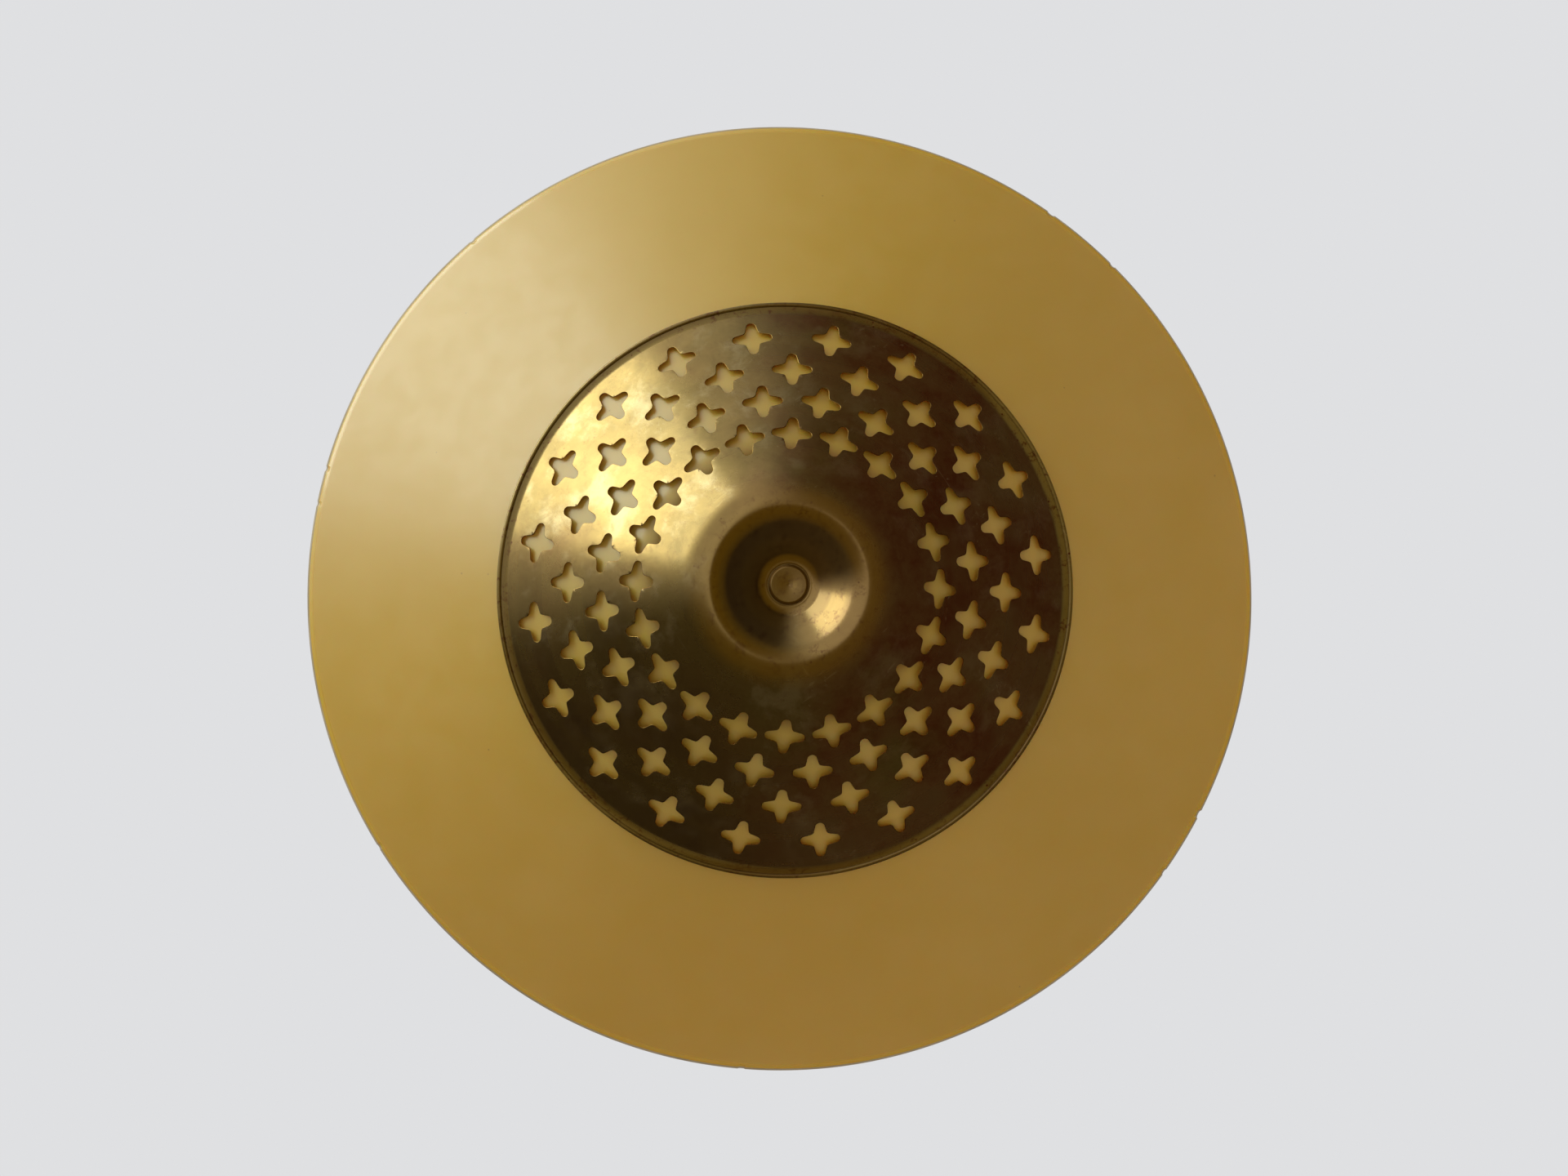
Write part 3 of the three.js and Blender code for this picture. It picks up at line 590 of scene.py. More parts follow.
def piece(name, bm, slot, node=None, body=FIXED, place=None, extra=None):
    """Finishes a piece of the lamp with its slot's finish, hangs it under its body's empty, and
    hides the node that it stands for. extra names the finish of its second material."""
    made = finish_mesh(name, bm, [finish(key) for key in (slot, extra) if key], place)
    weighted = made.modifiers.new("even_normals", "WEIGHTED_NORMAL")
    weighted.weight = 80
    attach(made, body)
    if node:
        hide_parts(node)
    return made


def turned_piece(name, profile, slot, node=None, body=FIXED, sides=64, place=None, extra=None, **lathing):
    bm = bmesh.new()
    lathe(bm, profile, sides, **lathing)
    return piece(name, bm, slot, node, body, place, extra)


def cut_slot(made, place, length, width, depth):
    """Cuts a screwdriver slot into a head whose top is at place."""
    bm = bmesh.new()
    bmesh.ops.create_cube(bm, size=1)
    cutter = finish_mesh("slot_cutter", bm, [])
    cutter.matrix_world = place @ Matrix.Diagonal((length, width, 2 * depth, 1))
    boolean = made.modifiers.new("slot", "BOOLEAN")
    boolean.object = cutter
    boolean.solver = "EXACT"
    made.modifiers.move(len(made.modifiers) - 1, 0)
    bpy.context.view_layer.update()
    graph = bpy.context.evaluated_depsgraph_get()
    cut = bpy.data.meshes.new_from_object(made.evaluated_get(graph), depsgraph=graph)
    made.modifiers.remove(boolean)
    made.data = cut
    bpy.data.objects.remove(cutter)


# Node tools


class Graph:
    """Adds shader nodes to a tree, at a place on the piece. A value may be a node's output."""

    def __init__(self, tree, place=None, shader=None):
        self.tree, self.place, self.shader = tree, place, shader

    def feed(self, socket, value):
        """Links a socket to a node's output, or sets its own value."""
        if isinstance(value, bpy.types.NodeSocket):
            self.tree.links.new(value, socket)
        else:
            socket.default_value = value

    def add(self, kind, sockets=None, **settings):
        node = self.tree.nodes.new("ShaderNode" + kind)
        for key, value in settings.items():
            setattr(node, key, value)
        for key, value in (sockets or {}).items():
            self.feed(node.inputs[key], value)
        return node

    def drive(self, **sockets):
        """Feeds the material's shader. Its sockets' names are written small, with underscores."""
        for key, value in sockets.items():
            self.feed(self.shader.inputs[key.replace("_", " ").title()], value)

    def math(self, operation, *values, clamp=False):
        node = self.add("Math", dict(enumerate(values)), operation=operation, use_clamp=clamp)
        return node.outputs[0]

    def chain(self, operation, values, clamp=False):
        """Puts two or more values through one operation, from the first on."""
        result = values[0]
        for value in values[1:]:
            result = self.math(operation, result, value, clamp=clamp)
        return result

    def times(self, *values, clamp=False):
        return self.chain("MULTIPLY", values, clamp)

    def plus(self, *values, clamp=False):
        return self.chain("ADD", values, clamp)

    def minus(self, *values):
        return self.chain("SUBTRACT", values)

    def most(self, *values):
        return self.chain("MAXIMUM", values)

    def fit(self, value, low, high, to_low=0.0, to_high=1.0):
        """The value between low and high, eased and fitted between two others."""
        node = self.add("MapRange", {
            "Value": value, "From Min": low, "From Max": high, "To Min": to_low, "To Max": to_high,
        }, interpolation_type="SMOOTHSTEP")
        return node.outputs[0]

    def shift(self, operation, first, second):
        return self.add("VectorMath", {0: first, 1: second}, operation=operation).outputs[0]

    def split(self, vector):
        return self.add("SeparateXYZ", {"Vector": vector}).outputs

    def radius(self):
        """How far the place is from the lamp's axis."""
        x, y, _ = self.split(self.place)
        flat = self.add("CombineXYZ", {"X": x, "Y": y}).outputs[0]
        return self.add("VectorMath", {0: flat}, operation="LENGTH").outputs["Value"]

    def noise(self, scale, detail=4.0, roughness=0.55, vector=None):
        node = self.add("TexNoise", {
            "Vector": vector or self.place, "Scale": scale, "Detail": detail, "Roughness": roughness,
        })
        return node.outputs[0]

    def group(self, name, **sockets):
        """Places an effect, which is built at its first use."""
        if name not in bpy.data.node_groups:
            EFFECTS[name]()
        node = self.add("Group", node_tree=bpy.data.node_groups[name])
        for key, value in sockets.items():
            self.feed(node.inputs[key.capitalize()], value)
        self.feed(node.inputs["Vector"], self.place)
        return node.outputs

    def mask(self, name, **sockets):
        return self.group(name, **sockets)["Mask"]

    def mix(self, factor, first, second):
        return self.add("Mix", {0: factor, 6: first, 7: second}, data_type="RGBA").outputs[2]

    def layered(self, colour, *layers):
        """A colour under layers, each given by its mask, the most that it hides, and its colour."""
        for mask, share, over in layers:
            colour = self.mix(self.times(mask, share), colour, over)
        return colour

    def bump(self, height, distance, strength):
        sockets = {"Height": height, "Distance": distance, "Strength": strength}
        return self.add("Bump", sockets).outputs[0]


def effect(name, inputs, outputs=("Mask",)):
    """An empty node group with named sockets. Returns its graph, its inputs and its outputs."""
    tree = bpy.data.node_groups.new(name, "ShaderNodeTree")
    tree.interface.new_socket("Vector", in_out="INPUT", socket_type="NodeSocketVector")
    for label, default in inputs.items():
        socket = tree.interface.new_socket(label, in_out="INPUT", socket_type="NodeSocketFloat")
        socket.default_value = default
    for label in outputs:
        tree.interface.new_socket(label, in_out="OUTPUT", socket_type="NodeSocketFloat")
    source = tree.nodes.new("NodeGroupInput").outputs
    target = tree.nodes.new("NodeGroupOutput").inputs
    return Graph(tree, source["Vector"]), source, target


def patches_effect():
    """Soft-edged patches, such as tarnish or clouds."""
    graph, source, target = effect("patches", {"Scale": 20.0, "Share": 0.5, "Softness": 0.1})
    warp = graph.add("TexNoise", {"Vector": graph.place, "Scale": source["Scale"], "Detail": 2.0})
    pull = graph.shift("MULTIPLY", warp.outputs["Color"], (PATCH_WARP, PATCH_WARP, PATCH_WARP))
    value = graph.noise(source["Scale"], 7.0, 0.6, vector=graph.shift("ADD", graph.place, pull))
    spread = graph.fit(graph.minus(1.0, source["Share"]), 0.0, 1.0, 0.3, 0.7)
    low, high = graph.minus(spread, source["Softness"]), graph.plus(spread, source["Softness"])
    graph.feed(target["Mask"], graph.fit(value, low, high))


def specks_effect():
    """Small round specks, each with its own size."""
    graph, source, target = effect("specks", {"Scale": 300.0, "Size": 0.25, "Share": 0.2})
    cells = graph.add("TexVoronoi", {"Vector": graph.place, "Scale": source["Scale"]}).outputs
    pick = graph.add("SeparateColor", {"Color": cells["Color"]}).outputs
    chosen = graph.math("LESS_THAN", pick[0], source["Share"])
    size = graph.times(source["Size"], pick[1])
    near = graph.fit(cells["Distance"], size, graph.times(size, 0.5))
    graph.feed(target["Mask"], graph.times(chosen, near))


def scratches_effect():
    """Fine straight hairlines in two directions."""
    graph, source, target = effect("scratches", {"Scale": 60.0, "Share": 0.3})
    limit = graph.minus(0.75, graph.times(source["Share"], 0.5))
    masks = []
    for turn, stretch in ((0.6, 0.03), (2.3, 0.045)):
        turned = graph.add("VectorRotate", {"Vector": graph.place, "Angle": turn}).outputs[0]
        drawn = graph.shift("MULTIPLY", turned, (1.0, stretch, 1.0))
        fine = graph.noise(graph.times(source["Scale"], 12.0), 2.0, vector=drawn)
        where = graph.fit(graph.noise(source["Scale"], 3.0), limit, graph.plus(limit, 0.1))
        masks.append(graph.times(graph.fit(fine, 0.62, 0.7), where))
    graph.feed(target["Mask"], graph.most(*masks))


def spun_effect():
    """Rings left by turning about the lamp's axis."""
    graph, source, target = effect("spun_rings", {"Scale": 700.0, "Wander": 0.02}, ["Height", "Band"])
    drift = graph.add("VectorMath", {0: graph.place, 3: source["Wander"]}, operation="SCALE").outputs[0]
    along = graph.add("CombineXYZ", {"X": graph.radius()}).outputs[0]
    point = graph.shift("ADD", along, drift)
    band = graph.noise(graph.times(source["Scale"], 0.12), 2.0, vector=point)
    graph.feed(target["Height"], graph.noise(source["Scale"], 3.0, 0.7, vector=point))
    graph.feed(target["Band"], graph.fit(band, 0.4, 0.62))


def ring_effect():
    """A soft ring about the lamp's axis, between two radii."""
    graph, source, target = effect("ring", {"Inner": 0.0, "Outer": 0.1, "Softness": 0.004})
    radius = graph.radius()
    rise = graph.fit(radius, graph.minus(source["Inner"], source["Softness"]), source["Inner"])
    fall = graph.fit(radius, graph.plus(source["Outer"], source["Softness"]), source["Outer"])
    graph.feed(target["Mask"], graph.times(rise, fall))


def dust_effect():
    """Dust that settles on what faces up."""
    graph, source, target = effect("dust", {"Amount": 0.4})
    facing = graph.split(graph.add("NewGeometry").outputs["Normal"])[2]
    cover = graph.fit(graph.noise(90.0, 8.0, 0.7), 0.3, 0.75, 0.35, 1.0)
    graph.feed(target["Mask"], graph.times(graph.fit(facing, 0.35, 1.0), source["Amount"], cover))


EFFECTS = {
    "patches": patches_effect, "specks": specks_effect, "scratches": scratches_effect,
    "spun_rings": spun_effect, "ring": ring_effect, "dust": dust_effect,
}


def material(name, **sockets):
    """A material with one Principled shader, whose steady values go on its own sockets."""
    made = bpy.data.materials.new(name)
    made.use_nodes = True
    made.node_tree.nodes.clear()
    graph = Graph(made.node_tree)
    graph.place = graph.add("TexCoord").outputs["Object"]
    graph.shader = graph.add("BsdfPrincipled", sockets)
    graph.add("OutputMaterial", {"Surface": graph.shader.outputs[0]})
    return made, graph


# Finishes


def opal_glass(sizes, colours):
    """Amber opal glass with cream clouds, seeds, and a smoother band at its rim, whose paler
    cream there is a painted highlight.
    """
    made, graph = material("opal_glass", **{
        "Subsurface Weight": 0.5, "Subsurface Radius": (0.012, 0.006, 0.002),
        "Subsurface Scale": 1.0, "IOR": 2.1,
    })
    clouds = graph.mask("patches", scale=7.0, share=0.42, softness=0.22)
    fine = graph.mask("patches", scale=60.0, share=0.5, softness=0.3)
    seeds = graph.mask("specks", scale=160.0, size=0.14, share=0.06)
    # The rim band is smoother, and its paler cream is a painted highlight along the rim
    band = sizes.shade_radius - SHADE_POLISH_AND_HIGHLIGHT_BAND
    rim = graph.mask("ring", inner=band, outer=2 * band, softness=SHADE_POLISH_AND_HIGHLIGHT_FADE)
    dust = graph.mask("dust", amount=0.35)
    graph.drive(
        base_color=graph.layered(
            colours.glass, (clouds, 0.5, colours.glass_cream), (fine, 0.08, colours.glass_cream),
            (seeds, 0.35, colours.brass_brown), (rim, 0.6, colours.glass_cream), (dust, 1, DUST_GREY),
        ),
        roughness=graph.minus(graph.fit(fine, 0.0, 1.0, 0.36, 0.44), graph.times(rim, 0.18)),
        normal=graph.bump(graph.noise(26.0, 3.0), 0.0006, 0.35),
    )
    return made


def ground_glass(colours):
    made, graph = material("ground_glass_edge", IOR=1.45)
    grain = graph.noise(900.0, 5.0, 0.7)
    stain = graph.mask("patches", scale=35.0, share=0.4, softness=0.2)
    graph.drive(
        base_color=graph.layered(colours.ground_edge, (stain, 0.3, colours.brass_olive)),
        roughness=graph.fit(grain, 0.3, 0.7, 0.65, 0.95), normal=graph.bump(grain, 0.0002, 0.6),
    )
    return made


def aged_brass(sizes, colours):
    """Spun brass under cloudy tarnish, olive towards -X and red-brown towards +X, with blotches
    rubbed clean, fine rings, hairlines, pores and specks. Towards +X the tarnish is also heavier and
    less metallic, with fewer clean blotches: partly real tarnish, partly painted shade of the side
    away from the key light."""
    made, graph = material("aged_brass", **{
        "Coat Weight": 0.6, "Coat IOR": 1.7, "Coat Roughness": 0.22, "Specular IOR Level": 0.1,
    })
    # Rises towards +X and drives heavier, browner tarnish there: partly real, partly painted shade of the
    # side away from the light
    dull = graph.fit(graph.split(graph.place)[0], *CAP_TARNISH_AND_SHADE_SIDE)
    lip = sizes.cap_radius - CAP_LIP_BAND
    rim = graph.mask("ring", inner=lip, outer=2 * lip, softness=CAP_LIP_FADE)
    crest = graph.mask("ring", inner=0.0, outer=CAP_CLEAR_RADIUS, softness=CAP_CLEAR_FADE)
    spun = graph.group("spun_rings", scale=900.0, wander=0.05)
    streaks = graph.fit(spun["Band"], 0.0, 1.0, 0.5, 1.0)
    # Streaks on the lip, lighter and less metallic: partly wear, partly a painted reflection of what lies
    # below
    worn_lip_and_reflection = graph.times(streaks, rim)

    clouds = graph.mask("patches", scale=17.0, share=0.6, softness=0.2)
    mottle = graph.mask("patches", scale=110.0, share=0.5, softness=0.2)
    cover = graph.times(graph.plus(clouds, dull), 0.45)
    cover = graph.plus(cover, graph.times(mottle, 0.15), clamp=True)
    cover = graph.times(cover, graph.minus(1.0, graph.times(crest, 0.6)))
    thick = graph.most(cover, graph.times(rim, 0.75), graph.times(streaks, crest, 0.4))
    hue_share = graph.fit(dull, 0.0, 1.0, 0.7, 0.3)
    hue = graph.mask("patches", scale=12.0, share=hue_share, softness=0.14)
    tarnish = graph.layered(colours.brass_brown, (hue, 1, colours.brass_olive), (worn_lip_and_reflection, 1, colours.brass_lip_wear_and_reflection))

    blotches = graph.mask("patches", scale=46.0, share=0.34, softness=0.1)
    bare = graph.times(blotches, graph.minus(1.0, graph.most(rim, crest)))
    bare = graph.times(bare, graph.fit(dull, 0.0, 1.0, 0.55, 0.12))
    pores = graph.mask("patches", scale=240.0, share=0.3, softness=0.1)
    specks = graph.mask("specks", scale=420.0, size=0.3, share=0.16)
    pitted = graph.plus(graph.times(crest, 0.45), rim, 0.25)
    marks = graph.times(graph.most(graph.times(pores, 0.7), specks), pitted, clamp=True)
    hairlines = graph.mask("scratches", scale=45.0, share=0.4)

    height = graph.plus(graph.times(spun["Height"], 0.3), graph.times(mottle, 0.08))
    crust = graph.times(thick, graph.fit(dull, 0.0, 1.0, 0.12, 0.35))
    smooth = graph.fit(thick, 0.0, 0.8, 0.17, 0.27)
    graph.drive(
        base_color=graph.layered(
            colours.brass, (thick, 1, tarnish), (bare, 1, colours.brass_rubbed),
            (marks, 1, colours.brass_brown), (hairlines, 0.2, colours.brass_rubbed),
        ),
        roughness=graph.plus(smooth, graph.fit(spun["Band"], 0.0, 1.0, 0.0, 0.04)),
        metallic=graph.minus(1.0, graph.most(crust, graph.times(worn_lip_and_reflection, 0.4))),
        normal=graph.bump(graph.minus(height, graph.times(hairlines, 0.25)), 0.0001, 0.3),
    )
    return made


def cut_brass(colours):
    made, graph = material("cut_brass_edge", Metallic=1.0)
    stain = graph.mask("patches", scale=28.0, share=0.5, softness=0.1)
    graph.drive(
        base_color=graph.layered(colours.brass, (stain, 0.7, colours.brass_brown)),
        roughness=graph.fit(graph.noise(700.0, 3.0), 0.3, 0.7, 0.22, 0.4),
    )
    return made


def plain_metal(name, clean, dull, rough, scale=40.0):
    """Turned or plated metal with duller patches, hairlines, specks and dust."""
    made, graph = material(name, Metallic=1.0)
    patch = graph.mask("patches", scale=scale, share=0.5, softness=0.14)
    hairlines = graph.mask("scratches", scale=90.0, share=0.5)
    specks = graph.mask("specks", scale=500.0, size=0.3, share=0.12)
    dust = graph.mask("dust", amount=0.3)
    height = graph.minus(graph.times(graph.noise(1500.0, 3.0), 0.3), hairlines)
    graph.drive(
        base_color=graph.layered(clean, (patch, 0.65, dull), (specks, 0.6, dull), (dust, 1, DUST_GREY)),
        roughness=graph.plus(graph.fit(patch, 0.0, 1.0, rough, rough + 0.16), dust, clamp=True),
        metallic=graph.minus(1.0, dust), normal=graph.bump(height, 0.00006, 0.5),
    )
    return made


def glazed(name, clean, aged, rough, coat):
    """Enamel or glazed porcelain, yellowed in patches, with pinholes and dust."""
    made, graph = material(name, **{"Coat Weight": coat, "Coat Roughness": 0.08, "IOR": 1.5})
    patch = graph.mask("patches", scale=22.0, share=0.45, softness=0.2)
    pinholes = graph.mask("specks", scale=260.0, size=0.22, share=0.05)
    dust = graph.mask("dust", amount=0.3)
    graph.drive(
        base_color=graph.layered(
            clean, (patch, 0.25, aged), (pinholes, 0.7, (0.12, 0.08, 0.05, 1)), (dust, 1, DUST_GREY)),
        roughness=graph.plus(graph.fit(patch, 0.0, 1.0, rough, rough + 0.12), dust, clamp=True),
        normal=graph.bump(graph.minus(graph.noise(140.0, 3.0), pinholes), 0.00015, 0.3),
    )
    return made


def felt_cloth(colours):
    made, graph = material("felt", **{"Sheen Weight": 0.4, "Sheen Roughness": 0.6, "IOR": 1.4})
    fibres = graph.noise(1400.0, 6.0, 0.75)
    tufts = graph.mask("patches", scale=260.0, share=0.5, softness=0.25)
    graph.drive(
        base_color=graph.layered(colours.felt, (tufts, 0.5, (0.2, 0.15, 0.1, 1))),
        roughness=graph.fit(fibres, 0.3, 0.7, 0.85, 1.0), normal=graph.bump(fibres, 0.0004, 0.8),
    )
    return made


def black_rubber(colours):
    made, graph = material("rubber", IOR=1.45)
    bloom = graph.mask("patches", scale=120.0, share=0.4, softness=0.2)
    dust = graph.mask("dust", amount=0.4)
    graph.drive(
        base_color=graph.layered(colours.rubber, (bloom, 0.3, (0.12, 0.115, 0.11, 1)), (dust, 1, DUST_GREY)),
        roughness=graph.fit(bloom, 0.0, 1.0, 0.55, 0.85),
        normal=graph.bump(graph.noise(800.0, 4.0), 0.0001, 0.5),
    )
    return made


def cotton_sleeving(colours):
    """Two sets of threads that cross on the tube, from its own unrolled coordinates."""
    made, graph = material("cotton_sleeving", **{"Sheen Weight": 0.3, "Sheen Roughness": 0.5})
    across, along, _ = graph.split(graph.add("TexCoord").outputs["UV"])
    waves = []
    for way in (1, -1):
        slant = graph.plus(graph.times(across, way * THREADS_ROUND), graph.times(along, THREADS_ROUND))
        waves.append(graph.math("SINE", graph.times(slant, FULL_TURN)))
    weave = graph.fit(graph.times(*waves), -1.0, 1.0)
    fibres = graph.noise(2500.0, 4.0)
    soil = graph.mask("patches", scale=70.0, share=0.45, softness=0.2)
    graph.drive(
        base_color=graph.layered(
            (0.3, 0.23, 0.13, 1), (weave, 1, colours.sleeving), (soil, 0.35, (0.16, 0.12, 0.08, 1))),
        roughness=graph.fit(fibres, 0.3, 0.7, 0.8, 0.98),
        normal=graph.bump(graph.plus(weave, graph.times(fibres, 0.4)), 0.00015, 0.8),
    )
    return made


def bulb_white(colours):
    made, graph = material("bulb_glass", **{
        "Subsurface Weight": 0.2, "Subsurface Radius": (0.003, 0.003, 0.0025),
        "Coat Weight": 0.6, "Coat Roughness": 0.05,
    })
    film = graph.mask("patches", scale=45.0, share=0.45, softness=0.25)
    dust = graph.mask("dust", amount=0.3)
    graph.drive(
        base_color=graph.layered(colours.bulb, (film, 0.15, (0.6, 0.55, 0.42, 1)), (dust, 1, DUST_GREY)),
        roughness=graph.plus(graph.fit(film, 0.0, 1.0, 0.18, 0.3), dust, clamp=True),
    )
    return made


def black_insulator():
    made, graph = material("insulator_glass", **{"Coat Weight": 0.5})
    mottle = graph.noise(400.0, 3.0)
    graph.drive(
        base_color=graph.mix(mottle, (0.015, 0.012, 0.02, 1), (0.05, 0.04, 0.05, 1)),
        roughness=graph.fit(mottle, 0.3, 0.7, 0.2, 0.4),
    )
    return made


def make_finishes(sizes, colours):
    """Every finish, by the name of the slot that it belongs to or of the place that it's on."""
    return {
        "opal_glass": opal_glass(sizes, colours),
        "ground_edge": ground_glass(colours),
        "aged_brass": aged_brass(sizes, colours),
        "cut_edge": cut_brass(colours),
        "brass": plain_metal("turned_brass", colours.clean_brass, (0.2, 0.13, 0.04, 1), 0.22),
        "steel": plain_metal("plated_steel", colours.steel, (0.26, 0.25, 0.23, 1), 0.28),
        "copper": plain_metal("tinned_copper", colours.copper, (0.3, 0.2, 0.14, 1), 0.3, scale=90.0),
        "white_enamel": glazed("white_enamel", colours.enamel, (0.6, 0.48, 0.28, 1), 0.3, 0.3),
        "porcelain": glazed("glazed_porcelain", colours.porcelain, (0.6, 0.52, 0.38, 1), 0.14, 0.5),
        "felt": felt_cloth(colours),
        "rubber": black_rubber(colours),
        "lead_sleeving": cotton_sleeving(colours),
        "bulb_glass": bulb_white(colours),
        "insulator": black_insulator(),
    }


FINISHES = {}


def finish(name):
    """One of the finishes, which are all made at the first call."""
    if not FINISHES:
        scene = bpy.context.scene
        FINISHES.update(make_finishes(scene.lamp_sizes, scene.lamp_colours))
    return FINISHES[name]


# Shade and cap


def rim_chips(shade_radius):
    """A bend that takes small shells out of the rim's edge."""
    near = shade_radius - 2 * SHADE_GROUND_WIDTH

    def bend(radius, z, angle):
        if radius < near:
            return radius, z
        degrees = math.degrees(angle)
        for place, half_width, depth in RIM_CHIPS:
            away = abs((degrees - place + 180) % 360 - 180)
            if away < half_width:
                return radius - depth * math.sqrt(1 - (away / half_width) ** 2), z
        return radius, z
    return bend


def rim_bearings():
    """Even angles round the shade, with finer ones at each chip."""
    angles = {FULL_TURN * side / SHADE_SIDES for side in range(SHADE_SIDES)}
    for place, half_width, _ in RIM_CHIPS:
        for step in range(-CHIP_STEPS, CHIP_STEPS + 1):
            reach = math.sin(0.5 * math.pi * step / CHIP_STEPS)
            angles.add(math.radians(place + half_width * reach) % FULL_TURN)
    return sorted(angles)


def shade_profile(sizes):
    slope = math.degrees(sizes.shade_slope)
    rise = math.tan(sizes.shade_slope)
    radius, wall = sizes.shade_radius, sizes.shade_wall
    rim_low = SHADE_RIM_TOP - SHADE_RIM_BAND
    knee = Vector((SHADE_FLAT_RADIUS - SHADE_KNEE_ROUND * math.tan(sizes.shade_slope / 2),
                   SHADE_BOTTOM + SHADE_KNEE_ROUND))
    round_end = radius - SHADE_GROUND_WIDTH
    rim_radius = round_end - SHADE_RIM_ROUND * math.sin(math.radians(SHADE_RIM_STEEP))
    tangent = rim_radius + SHADE_RIM_ROUND * math.sin(sizes.shade_slope)
    rim = Vector((rim_radius, rim_low - (radius - tangent) * rise
                  + SHADE_RIM_ROUND * math.cos(sizes.shade_slope)))
    inner_rim = Vector((radius - (wall / math.cos(sizes.shade_slope) - SHADE_RIM_BAND) / rise, SHADE_RIM_TOP))
    outer_knee = arc(knee, SHADE_KNEE_ROUND, -90, -90 + slope, 12)
    outer_rim = arc(rim, SHADE_RIM_ROUND, -90 + slope, -90 + SHADE_RIM_STEEP, 6)
    inner_knee = arc(knee, SHADE_KNEE_ROUND - wall, -90 + slope, -90, 10)
    cone = [outer_knee[-1].lerp(outer_rim[0], step / SHADE_CONE_ROWS) for step in range(1, SHADE_CONE_ROWS)]
    inner_cone = [inner_rim.lerp(inner_knee[0], step / SHADE_CONE_ROWS) for step in range(1, SHADE_CONE_ROWS)]
    hole = rounded([
        outer_knee[0], (SHADE_HOLE_RADIUS, SHADE_BOTTOM), (SHADE_HOLE_RADIUS, SHADE_BOTTOM + wall),
        inner_knee[-1],
    ], 0.6 * MM)
    top = rounded([
        outer_rim[-1], (round_end + 0.15 * MM, outer_rim[-1].y, 0.1 * MM),
        (radius, outer_rim[-1].y + SHADE_GROUND_RISE, 0.6 * MM), (radius, SHADE_RIM_TOP), inner_rim,
        inner_cone[0],
    ], 0.5 * MM)
    outside = outer_knee + cone + outer_rim
    profile = outside + top[1:-1] + inner_cone + inner_knee[:-1] + hole[::-1][:-1]
    return profile, range(len(outside) - 1, len(outside) + len(top) - 3)


class LAMP_OT_shade(bpy.types.Operator):
    """Turns the opal glass shade, with its ground and chipped rim"""

    bl_idname = "lamp.shade"
    bl_label = "Glass shade"

    def execute(self, context):
        sizes = context.scene.lamp_sizes
        profile, ground = shade_profile(sizes)
        turned_piece(
            "opal_shade", profile, "opal_glass", "glass_shade", "shade", extra="ground_edge",
            closed=True, bend=rim_chips(sizes.shade_radius), bearings=rim_bearings(),
            materials=lambda row: 1 if row in ground else 0,
        )
        return {"FINISHED"}


